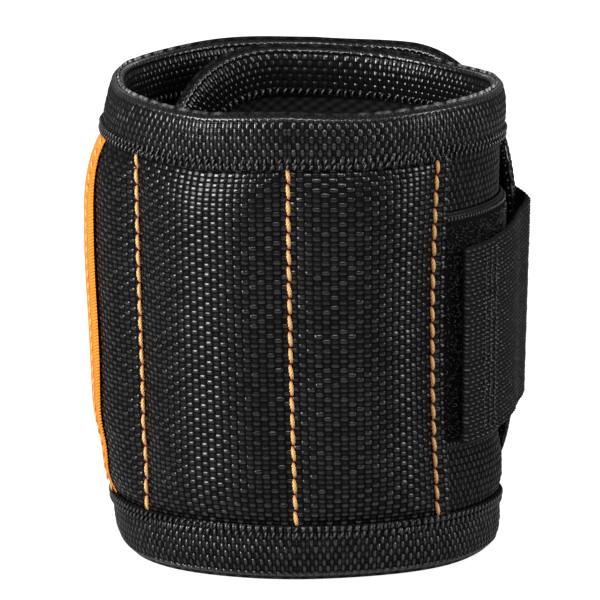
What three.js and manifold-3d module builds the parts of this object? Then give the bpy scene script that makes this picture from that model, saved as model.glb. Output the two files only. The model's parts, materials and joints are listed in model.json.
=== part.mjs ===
// Magnetic wristband: a padded fabric band, closed into a loop and standing on its lower edge.
// Millimetres, +Z up, the tool panel facing the front (-Y).
//
// The band is a flat strip wrapped on a loose spiral. A place on it is given by its length along
// the band, measured from the middle seam of the front panel: positive towards the outer end,
// which lies on top at the back right and carries the closing strap, and negative towards the
// tongue, which lies inside. n is the height above the middle layer, positive away from the wrist.

import * as THREE from 'three';
import { mergeVertices } from 'three/addons/utils/BufferGeometryUtils.js';
import Module from 'manifold-3d';

const wasm = await Module();
wasm.setup();

const FULL_TURN = 2 * Math.PI;
const radians = THREE.MathUtils.degToRad;

// Plan of the wrapped band
const WRIST_RADIUS = 36.5; // middle layer at the middle seam
const TURN_PITCH = 4.8; // each turn lies this far outside the one before
const SEAM_TURN = radians(5.3); // the middle seam sits this far left of the front
const FLARE = 0.6; // the upper edge is wider than mid-height by this, the lower edge narrower
const BACK_BULGE = 2.5; // the back bows out behind the tongue
const BULGE_HALF_ANGLE = radians(75);
const TONGUE_FALL = 3; // the loose tongue falls away from the back
const TONGUE_FALL_START = radians(115);
const TONGUE_FALL_END = radians(185);

// Lengths along the band, between its sewn folds
const RIGHT_CHANNEL = 28.6;
const LEFT_CHANNEL = 33;
const HEM_WIDTH = 2.4; // panel past its last row of stitches
const LEFT_FLANK_LENGTH = 46.9;
const BACK_CHANNEL = 27;
const OUTER_END_STRAIGHT = 2.4; // plain edge before the rounded end
const RIGHT_FLANK_LENGTH = 36.7;
const TONGUE_ROOT_LENGTH = 37;
const TONGUE_TIP_STRAIGHT = 6.5;
const FOLD_GAP = 0.4;

// Layers and edges
const BAND_HEIGHT = 90;
const END_CORNER_RADIUS = 32; // corners of both ends
const FIT = 0.3; // clearance between sewn layers
const LINING_THICKNESS = 0.6;
const COVER_THICKNESS = 0.8;
const BINDING_THICKNESS = 0.6;
const BINDING_WEB = 0.7; // binding that wraps round the edge
const BINDING_OUTSIDE = 10.5; // how far the binding reaches over the cover
const BINDING_INSIDE = 9.5;
const BINDING_CORNER = 1; // rounding of the folded edge

// Padding and magnets
const COVER_CROWN = 2.2; // swell of a padded channel on the outside
const LINING_CROWN = 1.1;
const CROWN_SIDE_POWER = 6; // higher is fuller towards the seams
const CROWN_END_POWER = 5;
const FOAM_SIDE_INSET = 3;
const FOAM_END_INSET = 2.2;
const MAGNET_DIAMETER = 15;
const MAGNET_THICKNESS = 1.5;
const MAGNET_PITCH = 19.5;
const MAGNET_HEIGHT = 0.1; // n of the magnet's middle
const POCKET_CLEARANCE = 0.4;

// Accent strip, closing patch and strap
const STRIP_WIDTH = 34;
const STRIP_THICKNESS = 1.1;
const LOOP_WIDTH = 46;
const LOOP_MIDDLE = 46; // height of the loop patch's centre line
const LOOP_THICKNESS = 1;
const STRAP_WIDTH = 38;
const STRAP_MIDDLE = 43.5;
const WEBBING_THICKNESS = 1;
const STRAP_TIP_MARGIN = 0.3; // the strap's tip stops this far short of the panel's hem
const STRAP_RISE = 15; // length over which the strap climbs onto the outer end
const STRAP_CLIMB = 3.4; // the strap slants up by this much from its tip to the outer end
const STRAP_ROOT_LENGTH = 14; // sewn down on the outer end
const HOOK_THICKNESS = 1.2;
const HOOK_INSET = 1.5;
const HOOK_LENGTH = 19;

// Facets
const FACET_LENGTH = 5;
const PAD_COLUMNS = 10;
const PAD_ROWS = 6;
const FOAM_ROWS = 4;
const CORNER_FACETS = 8;
const END_LEG_FACETS = 3;
const MAGNET_FACETS = 20;

// Stations of the folds along the band
const RIGHT_FOLD = -(RIGHT_CHANNEL + HEM_WIDTH);
const TONGUE_FOLD = RIGHT_FOLD - RIGHT_FLANK_LENGTH;
const TIP_FOLD = TONGUE_FOLD - TONGUE_ROOT_LENGTH;
const TONGUE_END = TIP_FOLD - TONGUE_TIP_STRAIGHT - END_CORNER_RADIUS;
const LEFT_FOLD = LEFT_CHANNEL;
const BACK_FOLD = LEFT_FOLD + LEFT_FLANK_LENGTH;
const MID_BACK_FOLD = BACK_FOLD + BACK_CHANNEL;
const END_FOLD = MID_BACK_FOLD + BACK_CHANNEL;
const OUTER_END = END_FOLD + OUTER_END_STRAIGHT + END_CORNER_RADIUS;

// Heights of the layers above the middle layer
const LINING_OUTER = -FIT / 2;
const LINING_INNER = LINING_OUTER - LINING_THICKNESS;
const COVER_INNER = FIT / 2;
const COVER_OUTER = COVER_INNER + COVER_THICKNESS;
const BINDING_OUTER = COVER_OUTER + FIT + BINDING_THICKNESS;
const BINDING_INNER = LINING_INNER - FIT - BINDING_THICKNESS;
const LOOP_INNER = COVER_OUTER + FIT;
const LOOP_OUTER = LOOP_INNER + LOOP_THICKNESS;
const HOOK_INNER = LOOP_OUTER + FIT;
const STRAP_ON_FLANK = HOOK_INNER + HOOK_THICKNESS + FIT;
const STRAP_ON_END = BINDING_OUTER + FIT;

// Edges of the sewn layers and of the padded windows between the bindings
const CLOTH_LOW = BINDING_WEB + FIT;
const CLOTH_HIGH = BAND_HEIGHT - CLOTH_LOW;
const COVER_PAD_LOW = BINDING_OUTSIDE + FIT;
const COVER_PAD_HIGH = BAND_HEIGHT - COVER_PAD_LOW;
const LINING_PAD_LOW = BINDING_INSIDE + FIT;
const LINING_PAD_HIGH = BAND_HEIGHT - LINING_PAD_LOW;

const FINISHES = {
  nylon: { color: 0x1a1b1d, roughness: 0.6, metalness: 0 },
  oxford: { color: 0x161719, roughness: 0.8, metalness: 0 },
  lining: { color: 0x202124, roughness: 0.9, metalness: 0 },
  binding: { color: 0x131415, roughness: 0.8, metalness: 0 },
  accent: { color: 0xe56a1e, roughness: 0.7, metalness: 0 },
  foam: { color: 0x4a4b4d, roughness: 0.95, metalness: 0 },
  magnet: { color: 0xb8bbbf, roughness: 0.35, metalness: 0.9 },
  loop: { color: 0x101112, roughness: 0.95, metalness: 0 },
  webbing: { color: 0x1b1c1e, roughness: 0.75, metalness: 0 },
  hook: { color: 0x18191a, roughness: 0.6, metalness: 0 },
};

const wristband = new THREE.Group();

// The spiral that the band follows

function radiusAt(angle) {
  const fromBack = (angle - (Math.PI - SEAM_TURN)) / BULGE_HALF_ANGLE;
  const bulge = Math.abs(fromBack) < 1 ? Math.cos((fromBack * Math.PI) / 2) ** 2 : 0;
  const fall = THREE.MathUtils.smoothstep(-angle, TONGUE_FALL_START, TONGUE_FALL_END);
  return WRIST_RADIUS + (TURN_PITCH * angle) / FULL_TURN + BACK_BULGE * bulge - TONGUE_FALL * fall;
}

function angleAt(station) {
  const steps = Math.ceil(Math.abs(station)) + 1;
  const step = station / steps;
  let angle = 0;
  for (let i = 0; i < steps; i++) {
    const halfway = angle + step / radiusAt(angle) / 2;
    angle += step / radiusAt(halfway);
  }
  return angle;
}

function place(angle, n, z) {
  const radius = radiusAt(angle) + n + FLARE * ((2 * z) / BAND_HEIGHT - 1);
  const turned = angle + SEAM_TURN;
  return [-radius * Math.sin(turned), -radius * Math.cos(turned), z];
}

// Spacings

function spread(from, to, step) {
  const count = Math.max(1, Math.ceil(Math.abs(to - from) / step));
  return Array.from({ length: count + 1 }, (_, i) => from + ((to - from) * i) / count);
}

function crowdEnds(from, to, count) {
  return Array.from({ length: count + 1 }, (_, i) => {
    const share = (1 - Math.cos((Math.PI * i) / count)) / 2;
    return from + share * (to - from);
  });
}

// Closed meshes

function closedGeometry(vertices, triangles) {
  const geometry = new THREE.BufferGeometry();
  geometry.setAttribute('position', new THREE.Float32BufferAttribute(vertices.flat(), 3));
  geometry.setIndex(triangles.flat());
  return geometry;
}

// A layer of cloth: columns along the band, each with rows of inner and outer heights.
function sheet(columns) {
  const rowCount = columns[0].rows.length;
  const last = columns.length - 1;
  const top = rowCount - 1;
  const vertices = [];
  for (const { angle, rows } of columns) {
    for (const row of rows) {
      vertices.push(place(angle, row.outer, row.z), place(angle, row.inner, row.z));
    }
  }
  const outer = (i, j) => 2 * (i * rowCount + j);
  const inner = (i, j) => outer(i, j) + 1;
  const triangles = [];
  const quad = (a, b, c, d) => triangles.push([a, b, c], [a, c, d]);
  for (let i = 0; i < last; i++) {
    for (let j = 0; j < top; j++) {
      quad(outer(i, j), outer(i, j + 1), outer(i + 1, j + 1), outer(i + 1, j));
      quad(inner(i, j), inner(i + 1, j), inner(i + 1, j + 1), inner(i, j + 1));
    }
    quad(outer(i, 0), outer(i + 1, 0), inner(i + 1, 0), inner(i, 0));
    quad(outer(i + 1, top), outer(i, top), inner(i, top), inner(i + 1, top));
  }
  for (let j = 0; j < top; j++) {
    quad(outer(0, j + 1), outer(0, j), inner(0, j), inner(0, j + 1));
    quad(outer(last, j), outer(last, j + 1), inner(last, j + 1), inner(last, j));
  }
  return closedGeometry(vertices, triangles);
}

function column(station, heights, innerAt, outerAt) {
  const rows = heights.map((z) => ({ z, inner: innerAt(station, z), outer: outerAt(station, z) }));
  return { angle: angleAt(station), rows };
}

// Edge binding: a folded section swept along an edge. A section point is a depth from the edge
// and a height n; a path point has a station, a height and the direction into the cloth. Round
// an end the legs run along the band's curve, so they are split into facets there.
function bindingSection(legFacets) {
  const leg = (from, to, n) =>
    spread(from, to, Math.abs(to - from) / legFacets).map((depth) => [depth, n]);
  return [
    ...leg(BINDING_OUTSIDE, BINDING_CORNER, BINDING_OUTER),
    [0, BINDING_OUTER - BINDING_CORNER],
    [0, BINDING_INNER + BINDING_CORNER],
    ...leg(BINDING_CORNER, BINDING_INSIDE, BINDING_INNER),
    ...leg(BINDING_INSIDE, BINDING_WEB, BINDING_INNER + BINDING_THICKNESS),
    ...leg(BINDING_WEB, BINDING_OUTSIDE, BINDING_OUTER - BINDING_THICKNESS),
  ];
}

function sweepBinding(path, legFacets) {
  const section = bindingSection(legFacets);
  const count = section.length;
  const vertices = [];
  for (const { station, z, inward } of path) {
    for (const [depth, n] of section) {
      vertices.push(place(angleAt(station + depth * inward[0]), n, z + depth * inward[1]));
    }
  }
  const triangles = [];
  for (let i = 0; i < path.length - 1; i++) {
    for (let k = 0; k < count; k++) {
      const next = (k + 1) % count;
      const here = i * count;
      const ahead = here + count;
      triangles.push([here + k, ahead + k, ahead + next], [here + k, ahead + next, here + next]);
    }
  }
  const contour = section.map(([depth, n]) => new THREE.Vector2(depth, n));
  const far = (path.length - 1) * count;
  for (const [a, b, c] of THREE.ShapeUtils.triangulateShape(contour, [])) {
    triangles.push([a, b, c], [far + a, far + c, far + b]);
  }
  return turnOutward(closedGeometry(vertices, triangles));
}

// Faces of a closed mesh point outwards when its signed volume is positive.
function turnOutward(geometry) {
  const index = geometry.index;
  const position = geometry.attributes.position;
  const corner = [new THREE.Vector3(), new THREE.Vector3(), new THREE.Vector3()];
  let volume = 0;
  for (let i = 0; i < index.count; i += 3) {
    corner.forEach((point, k) => point.fromBufferAttribute(position, index.getX(i + k)));
    volume += corner[0].dot(corner[1].clone().cross(corner[2]));
  }
  if (volume < 0) {
    for (let i = 0; i < index.count; i += 3) {
      const second = index.getX(i + 1);
      index.setX(i + 1, index.getX(i + 2));
      index.setX(i + 2, second);
    }
  }
  return geometry;
}

function addMesh(name, geometry, finish) {
  const mesh = new THREE.Mesh(geometry, new THREE.MeshStandardMaterial(finish));
  mesh.name = name;
  wristband.add(mesh);
  return mesh;
}

// Booleans on closed meshes

function toSolid(geometry) {
  const bare = geometry.clone();
  bare.deleteAttribute('normal');
  bare.deleteAttribute('uv');
  const merged = mergeVertices(bare);
  const vertProperties = new Float32Array(merged.attributes.position.array);
  const triVerts = new Uint32Array(merged.index.array);
  return new wasm.Manifold(new wasm.Mesh({ numProp: 3, vertProperties, triVerts }));
}

function toGeometry(solid) {
  const mesh = solid.getMesh();
  const geometry = new THREE.BufferGeometry();
  geometry.setAttribute('position', new THREE.BufferAttribute(mesh.vertProperties, 3));
  geometry.setIndex(new THREE.BufferAttribute(mesh.triVerts, 1));
  return geometry;
}

// Swell of a padded channel: full in the middle, drawn in at the seams and under the bindings

function swell(pads, station, z, low, high) {
  const pad = pads.find(({ from, to }) => station >= from && station <= to);
  if (!pad || z < low || z > high) {
    return 0;
  }
  const across = (2 * station - pad.from - pad.to) / (pad.to - pad.from);
  const along = (2 * z - low - high) / (high - low);
  return (1 - Math.abs(across) ** CROWN_SIDE_POWER) * (1 - Math.abs(along) ** CROWN_END_POWER);
}

function coverRise(pads, station, z) {
  return COVER_CROWN * swell(pads, station, z, COVER_PAD_LOW, COVER_PAD_HIGH);
}

function liningDrop(pads, station, z) {
  return LINING_CROWN * swell(pads, station, z, LINING_PAD_LOW, LINING_PAD_HIGH);
}

// Columns of a run of the band: crowded towards the seams over a pad, even elsewhere
function stationsOf({ from, to, pads }) {
  const stops = [from, ...pads.flatMap((pad) => [pad.from, pad.to]), to];
  const stations = [from];
  for (let i = 0; i < stops.length - 1; i++) {
    const padded = pads.some((pad) => pad.from === stops[i] && pad.to === stops[i + 1]);
    const run = padded
      ? crowdEnds(stops[i], stops[i + 1], PAD_COLUMNS)
      : spread(stops[i], stops[i + 1], FACET_LENGTH);
    if (stops[i + 1] > stops[i]) {
      stations.push(...run.slice(1));
    }
  }
  return stations;
}

// Sub-parts of one run of the band

function addCover(run, name, finish) {
  const padRows = run.pads.length ? crowdEnds(COVER_PAD_LOW, COVER_PAD_HIGH, PAD_ROWS) : [];
  const heights = [CLOTH_LOW, ...padRows, CLOTH_HIGH];
  const innerAt = (station, z) => COVER_INNER + coverRise(run.pads, station, z);
  const outerAt = (station, z) => COVER_OUTER + coverRise(run.pads, station, z);
  const columns = stationsOf(run).map((station) => column(station, heights, innerAt, outerAt));
  addMesh(name, sheet(columns), finish);
}

function addLining(run, name) {
  const padRows = run.pads.length ? crowdEnds(LINING_PAD_LOW, LINING_PAD_HIGH, PAD_ROWS) : [];
  const heights = [CLOTH_LOW, ...padRows, CLOTH_HIGH];
  const innerAt = (station, z) => LINING_INNER - liningDrop(run.pads, station, z);
  const outerAt = (station, z) => LINING_OUTER - liningDrop(run.pads, station, z);
  const columns = stationsOf(run).map((station) => column(station, heights, innerAt, outerAt));
  addMesh(name, sheet(columns), FINISHES.lining);
}

function addEdgeBindings(run, name) {
  const edges = [
    { edge: 'top', z: BAND_HEIGHT, inward: [0, -1] },
    { edge: 'bottom', z: 0, inward: [0, 1] },
  ];
  for (const { edge, z, inward } of edges) {
    const stations = spread(run.from, run.to, FACET_LENGTH);
    const path = stations.map((station) => ({ station, z, inward }));
    addMesh(`${name}_binding_${edge}`, sweepBinding(path, 1), FINISHES.binding);
  }
}

function magnetsOf(pad) {
  const station = (pad.from + pad.to) / 2;
  const middle = BAND_HEIGHT / 2;
  return [
    { row: 'top', station, z: middle + MAGNET_PITCH },
    { row: 'middle', station, z: middle },
    { row: 'bottom', station, z: middle - MAGNET_PITCH },
  ];
}

function discAt({ station, z }, diameter, thickness) {
  const angle = angleAt(station);
  const disc = new THREE.CylinderGeometry(diameter / 2, diameter / 2, thickness, MAGNET_FACETS);
  const pose = new THREE.Object3D();
  pose.position.set(...place(angle, MAGNET_HEIGHT, z));
  const [behindX, behindY] = place(angleAt(station - diameter / 2), 0, z);
  const [aheadX, aheadY] = place(angleAt(station + diameter / 2), 0, z);
  pose.rotation.z = Math.atan2(aheadY - behindY, aheadX - behindX);
  pose.updateMatrix();
  return { disc, pose };
}

function addMagnets(pad, name) {
  for (const magnet of magnetsOf(pad)) {
    const { disc, pose } = discAt(magnet, MAGNET_DIAMETER, MAGNET_THICKNESS);
    const mesh = addMesh(`${name}_magnet_${magnet.row}`, disc, FINISHES.magnet);
    mesh.position.copy(pose.position);
    mesh.rotation.copy(pose.rotation);
  }
}

function addFoam(pads, pad, name) {
  const low = COVER_PAD_LOW + FOAM_END_INSET;
  const heights = spread(low, BAND_HEIGHT - low, (BAND_HEIGHT - 2 * low) / FOAM_ROWS);
  const from = pad.from + FOAM_SIDE_INSET;
  const to = pad.to - FOAM_SIDE_INSET;
  const innerAt = (station, z) => LINING_OUTER - liningDrop(pads, station, z) + FIT;
  const outerAt = (station, z) => COVER_INNER + coverRise(pads, station, z) - FIT;
  const stations = spread(from, to, FACET_LENGTH);
  let foam = toSolid(sheet(stations.map((station) => column(station, heights, innerAt, outerAt))));
  const pocketDepth = COVER_CROWN + LINING_CROWN + MAGNET_THICKNESS + COVER_THICKNESS;
  for (const magnet of magnetsOf(pad)) {
    const { disc, pose } = discAt(magnet, MAGNET_DIAMETER + 2 * POCKET_CLEARANCE, 2 * pocketDepth);
    foam = foam.subtract(toSolid(disc.applyMatrix4(pose.matrix)));
  }
  addMesh(`${name}_foam`, toGeometry(foam), FINISHES.foam);
}

// Rounded ends: the outline narrows over the corner radius, towards the side given by direction

function cornerAngles() {
  return Array.from({ length: CORNER_FACETS + 1 }, (_, i) => ((i / CORNER_FACETS) * Math.PI) / 2);
}

function roundedColumns(fold, end, direction, innerAt, outerAt) {
  const centre = end - direction * END_CORNER_RADIUS;
  const radius = END_CORNER_RADIUS - CLOTH_LOW;
  const cornered = cornerAngles().map((corner) => ({
    station: centre + direction * radius * Math.sin(corner),
    low: END_CORNER_RADIUS - radius * Math.cos(corner),
  }));
  const straight = spread(fold, centre, FACET_LENGTH).slice(0, -1);
  const places = [...straight.map((station) => ({ station, low: CLOTH_LOW })), ...cornered];
  const columns = places.map(({ station, low }) =>
    column(station, [low, BAND_HEIGHT / 2, BAND_HEIGHT - low], innerAt, outerAt),
  );
  return direction > 0 ? columns : columns.reverse();
}

function roundedPath(fold, end, direction) {
  const centre = end - direction * END_CORNER_RADIUS;
  const straight = spread(fold, centre, FACET_LENGTH).slice(0, -1);
  const lower = [
    ...straight.map((station) => ({ station, z: 0, inward: [0, 1] })),
    ...cornerAngles().map((corner) => cornerPoint(centre, direction, corner)),
  ];
  const upper = lower.map(({ station, z, inward }) => ({
    station,
    z: BAND_HEIGHT - z,
    inward: [inward[0], -inward[1]],
  }));
  return [...lower, ...upper.reverse()];
}

function cornerPoint(centre, direction, corner) {
  return {
    station: centre + direction * END_CORNER_RADIUS * Math.sin(corner),
    z: END_CORNER_RADIUS * (1 - Math.cos(corner)),
    inward: [-direction * Math.sin(corner), Math.cos(corner)],
  };
}

function addRoundedEnd(fold, end, direction, name) {
  const start = fold + (direction * FOLD_GAP) / 2;
  const coverColumns = roundedColumns(start, end, direction, () => COVER_INNER, () => COVER_OUTER);
  addMesh(`${name}_cover`, sheet(coverColumns), FINISHES.oxford);
  const liningColumns = roundedColumns(start, end, direction, () => LINING_INNER, () => LINING_OUTER);
  addMesh(`${name}_lining`, sheet(liningColumns), FINISHES.lining);
  const binding = sweepBinding(roundedPath(start, end, direction), END_LEG_FACETS);
  addMesh(`${name}_binding`, binding, FINISHES.binding);
}

// A run of the band between two folds
function runBetween(from, to, padStops = []) {
  const inset = FOLD_GAP / 2;
  const run = { from: from + inset, to: to - inset };
  const stops = padStops.map((stop) => THREE.MathUtils.clamp(stop, run.from, run.to));
  run.pads = stops.slice(1).map((stop, i) => ({ from: stops[i], to: stop }));
  return run;
}

function addFront() {
  const run = runBetween(RIGHT_FOLD, LEFT_FOLD, [-RIGHT_CHANNEL, 0, LEFT_FOLD]);
  addCover(run, 'front_panel', FINISHES.nylon);
  addLining(run, 'front_lining');
  addEdgeBindings(run, 'front');
  ['front_right', 'front_left'].forEach((name, i) => {
    addFoam(run.pads, run.pads[i], name);
    addMagnets(run.pads[i], name);
  });
}

function addPaddedRun(name, from, to) {
  const run = runBetween(from, to, [from, to]);
  addCover(run, `${name}_panel`, FINISHES.nylon);
  addLining(run, `${name}_lining`);
  addEdgeBindings(run, name);
  addFoam(run.pads, run.pads[0], name);
  addMagnets(run.pads[0], name);
  return run;
}

function addPlainRun(name, from, to) {
  const run = runBetween(from, to);
  addCover(run, `${name}_cover`, FINISHES.oxford);
  addLining(run, `${name}_lining`);
  addEdgeBindings(run, name);
  return run;
}

// The orange strip sewn over the left end of the front panel, following the pad under it
function addAccentStrip(run) {
  const heights = crowdEnds(COVER_PAD_LOW, COVER_PAD_HIGH, PAD_ROWS);
  const innerAt = (station, z) => COVER_OUTER + coverRise(run.pads, station, z) + FIT;
  const outerAt = (station, z) => innerAt(station, z) + STRIP_THICKNESS;
  const stations = stationsOf(run).filter((station) => station > run.to - STRIP_WIDTH + FIT);
  const columns = [run.to - STRIP_WIDTH, ...stations].map((station) =>
    column(station, heights, innerAt, outerAt),
  );
  addMesh('accent_strip', sheet(columns), FINISHES.accent);
}

// The soft half of the closure, on the flank that the strap comes down on
function addLoopPatch(run) {
  const heights = [LOOP_MIDDLE - LOOP_WIDTH / 2, LOOP_MIDDLE + LOOP_WIDTH / 2];
  const stations = spread(run.from, run.to, FACET_LENGTH);
  const columns = stations.map((station) =>
    column(station, heights, () => LOOP_INNER, () => LOOP_OUTER),
  );
  addMesh('loop_patch', sheet(columns), FINISHES.loop);
}

// The closing strap: sewn on the outer end, then down over its edge onto the loop patch

const END_ANGLE = angleAt(OUTER_END) - FULL_TURN; // the outer end, counted on the flank's turn
const STRAP_TIP_ANGLE = angleAt(RIGHT_FOLD - STRAP_TIP_MARGIN);
const STRAP_LOW = STRAP_MIDDLE - STRAP_WIDTH / 2;
const STRAP_HIGH = STRAP_MIDDLE + STRAP_WIDTH / 2;

function strapHeight(angle) {
  const onEnd = radiusAt(angle + FULL_TURN) - radiusAt(angle) + STRAP_ON_END;
  const riseAngle = STRAP_RISE / WRIST_RADIUS;
  const climbed = THREE.MathUtils.smoothstep(-angle, -END_ANGLE - riseAngle, -END_ANGLE);
  return THREE.MathUtils.lerp(STRAP_ON_FLANK, onEnd, climbed);
}

function strapColumns(from, to, low, high, innerOffset, outerOffset) {
  const angles = spread(from, to, FACET_LENGTH / 2 / WRIST_RADIUS);
  return angles.map((angle) => {
    const climb = (STRAP_CLIMB * (STRAP_TIP_ANGLE - angle)) / (STRAP_TIP_ANGLE - END_ANGLE);
    const rows = [low, high].map((z) => ({
      z: z + climb,
      inner: strapHeight(angle) + innerOffset,
      outer: strapHeight(angle) + outerOffset,
    }));
    return { angle, rows };
  });
}

function addStrap() {
  const gapAngle = FOLD_GAP / 2 / WRIST_RADIUS;
  const rootAngle = STRAP_ROOT_LENGTH / WRIST_RADIUS;
  const start = END_ANGLE + gapAngle;
  const webbing = strapColumns(start, STRAP_TIP_ANGLE, STRAP_LOW, STRAP_HIGH, 0, WEBBING_THICKNESS);
  addMesh('strap_webbing', sheet(webbing), FINISHES.webbing);

  const hookTip = STRAP_TIP_ANGLE - HOOK_INSET / WRIST_RADIUS;
  const hookLow = STRAP_LOW + HOOK_INSET;
  const hookHigh = STRAP_HIGH - HOOK_INSET;
  const hookStart = hookTip - HOOK_LENGTH / WRIST_RADIUS;
  const hook = strapColumns(hookStart, hookTip, hookLow, hookHigh, -FIT - HOOK_THICKNESS, -FIT);
  addMesh('hook_pad', sheet(hook), FINISHES.hook);

  const rootEnd = END_ANGLE - gapAngle;
  const root = strapColumns(rootEnd - rootAngle, rootEnd, STRAP_LOW, STRAP_HIGH, 0, WEBBING_THICKNESS);
  addMesh('strap_root', sheet(root), FINISHES.webbing);
}

addFront();
addAccentStrip(addPaddedRun('left_flank', LEFT_FOLD, BACK_FOLD));
addPaddedRun('back_inner', BACK_FOLD, MID_BACK_FOLD);
addPaddedRun('back_outer', MID_BACK_FOLD, END_FOLD);
addRoundedEnd(END_FOLD, OUTER_END, 1, 'outer_end');
addLoopPatch(addPlainRun('right_flank', TONGUE_FOLD, RIGHT_FOLD));
addPlainRun('tongue_root', TIP_FOLD, TONGUE_FOLD);
addRoundedEnd(TIP_FOLD, TONGUE_END, -1, 'tongue_tip');
addStrap();

// The origin is under the middle of the band's box, on the surface that it stands on.
const box = new THREE.Box3().setFromObject(wristband);
const middle = box.getCenter(new THREE.Vector3());
wristband.position.set(-middle.x, -middle.y, -box.min.z);

// Fold axes stand on the outer face of the binding, where the band hinges as it opens.
const HINGE_HEIGHT = BINDING_OUTER + FLARE;
const folds = { RIGHT_FOLD, TONGUE_FOLD, TIP_FOLD, LEFT_FOLD, BACK_FOLD, MID_BACK_FOLD, END_FOLD };
const printAxis = (name, angle, height) => {
  const [x, y] = place(angle, height, BAND_HEIGHT / 2);
  console.log(`${name} axis x ${(x - middle.x).toFixed(2)} y ${(y - middle.y).toFixed(2)}`);
};
for (const [name, station] of Object.entries(folds)) {
  printAxis(name, angleAt(station), HINGE_HEIGHT);
}
printAxis('STRAP', END_ANGLE, strapHeight(END_ANGLE) + WEBBING_THICKNESS + FLARE);
console.log('size', box.getSize(new THREE.Vector3()).toArray().map((side) => side.toFixed(2)).join(' x '));

export default wristband;
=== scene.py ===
# %% [markdown]
# # A magnetic wristband
# The band is a long strip of black nylon with padded channels, rolled round the wrist and closed by a
# strap. Small magnets in the channels hold screws and bits. The packed solids are loaded first, and one of
# their joints fixes where the wrap lies. This lesson dresses them: soft padded cloth, woven edge tape, sewn
# rows, a fuzzy closure patch, and the light of the photo.

# %% Load the frame
import json
import math
from collections import namedtuple

import bpy
import numpy as np
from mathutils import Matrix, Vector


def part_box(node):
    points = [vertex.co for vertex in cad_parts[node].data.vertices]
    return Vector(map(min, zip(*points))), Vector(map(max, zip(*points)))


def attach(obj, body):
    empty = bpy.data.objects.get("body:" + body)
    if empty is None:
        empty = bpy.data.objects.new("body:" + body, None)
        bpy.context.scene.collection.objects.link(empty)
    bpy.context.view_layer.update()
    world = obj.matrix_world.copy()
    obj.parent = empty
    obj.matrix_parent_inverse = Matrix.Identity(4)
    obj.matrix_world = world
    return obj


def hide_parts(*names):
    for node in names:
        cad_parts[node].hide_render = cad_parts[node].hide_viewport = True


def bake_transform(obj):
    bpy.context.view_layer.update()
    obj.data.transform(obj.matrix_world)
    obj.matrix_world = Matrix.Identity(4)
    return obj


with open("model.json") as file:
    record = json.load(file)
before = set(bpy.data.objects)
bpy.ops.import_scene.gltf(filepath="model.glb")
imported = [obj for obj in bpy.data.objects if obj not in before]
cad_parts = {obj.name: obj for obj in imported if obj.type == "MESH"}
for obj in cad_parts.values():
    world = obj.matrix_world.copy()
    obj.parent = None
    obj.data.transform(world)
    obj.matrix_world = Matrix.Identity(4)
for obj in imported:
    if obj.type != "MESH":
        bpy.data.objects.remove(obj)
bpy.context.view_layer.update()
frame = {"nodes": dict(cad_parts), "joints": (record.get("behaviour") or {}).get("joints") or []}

SCENE = bpy.context.scene
JOINTS = {joint["name"]: joint for joint in frame["joints"]}

# %% [markdown]
# ## The wrap
# On the real object the band is one flat strip that goes round the wrist for a turn and a half, so its
# outer end lies over its inner tongue. A flat model could be bent by a Curve modifier, but each layer and
# stitch would need the same bend. Here one function takes a place on the flat strip (how far along, how
# far above the middle layer, how high) to a point in space, and every soft piece below is drawn with it.

# %% Sizes of the wrap
MM = 0.001
FULL_TURN = 2 * math.pi
BAND_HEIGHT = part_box("front_binding_top")[1].z
WRIST_RADIUS = 36.5 * MM
TURN_PITCH = 4.8 * MM  # the radius grows by this much in a turn
SEAM_TURN = math.radians(5.3)  # the middle seam stands this far left of the front
FLARE = 0.6 * MM  # the upper rim is this much wider than the middle
BACK_BULGE = 2.5 * MM
BULGE_HALF_ANGLE = math.radians(75)
TONGUE_FALL = 3 * MM  # the tongue's end leans in
TONGUE_FALL_ANGLES = math.radians(115), math.radians(185)
TABLE_STEP = 0.5 * MM
TABLE_REACH = 180 * MM


def ease(value, low, high):
    """A smooth step from 0 at low to 1 at high."""
    share = np.clip((value - low) / (high - low), 0, 1)
    return share * share * (3 - 2 * share)


def hump(value, middle, reach):
    """1 at the middle, falling smoothly to 0 at the reach on both sides."""
    return np.cos(np.clip((value - middle) / reach, -1, 1) * math.pi / 2) ** 2


def wrap_radius(angle):
    """Radius of the band's middle layer at an angle, counted from the middle seam."""
    bulge = BACK_BULGE * hump(angle, math.pi - SEAM_TURN, BULGE_HALF_ANGLE)
    fall = TONGUE_FALL * ease(-angle, *TONGUE_FALL_ANGLES)
    return WRIST_RADIUS + TURN_PITCH * angle / FULL_TURN + bulge - fall


def walk(step):
    """The angles that short steps along the band reach from the middle seam."""
    angles = [0.0]
    for _ in range(round(TABLE_REACH / TABLE_STEP)):
        halfway = angles[-1] + step / wrap_radius(angles[-1]) / 2
        angles.append(angles[-1] + step / wrap_radius(halfway))
    return angles


TABLE_ANGLES = np.array(walk(-TABLE_STEP)[:0:-1] + walk(TABLE_STEP))
TABLE_STATIONS = np.linspace(-TABLE_REACH, TABLE_REACH, len(TABLE_ANGLES))


def angle_at(station):
    return np.interp(station, TABLE_STATIONS, TABLE_ANGLES)


def station_at(angle):
    return np.interp(angle, TABLE_ANGLES, TABLE_STATIONS)


first_degrees, last_degrees = np.degrees(TABLE_ANGLES[[0, -1]])
print(f"wrap: from {first_degrees:.0f} to {last_degrees:.0f} degrees")

# %% [markdown]
# ## Measures of the flat strip
# Every seam, fold and end has a place along the flat strip, and every layer a height above its middle.
# Each is written once, and the next one is counted from it, so cloth, tape and stitches that meet on the
# real band take the same numbers.

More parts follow.
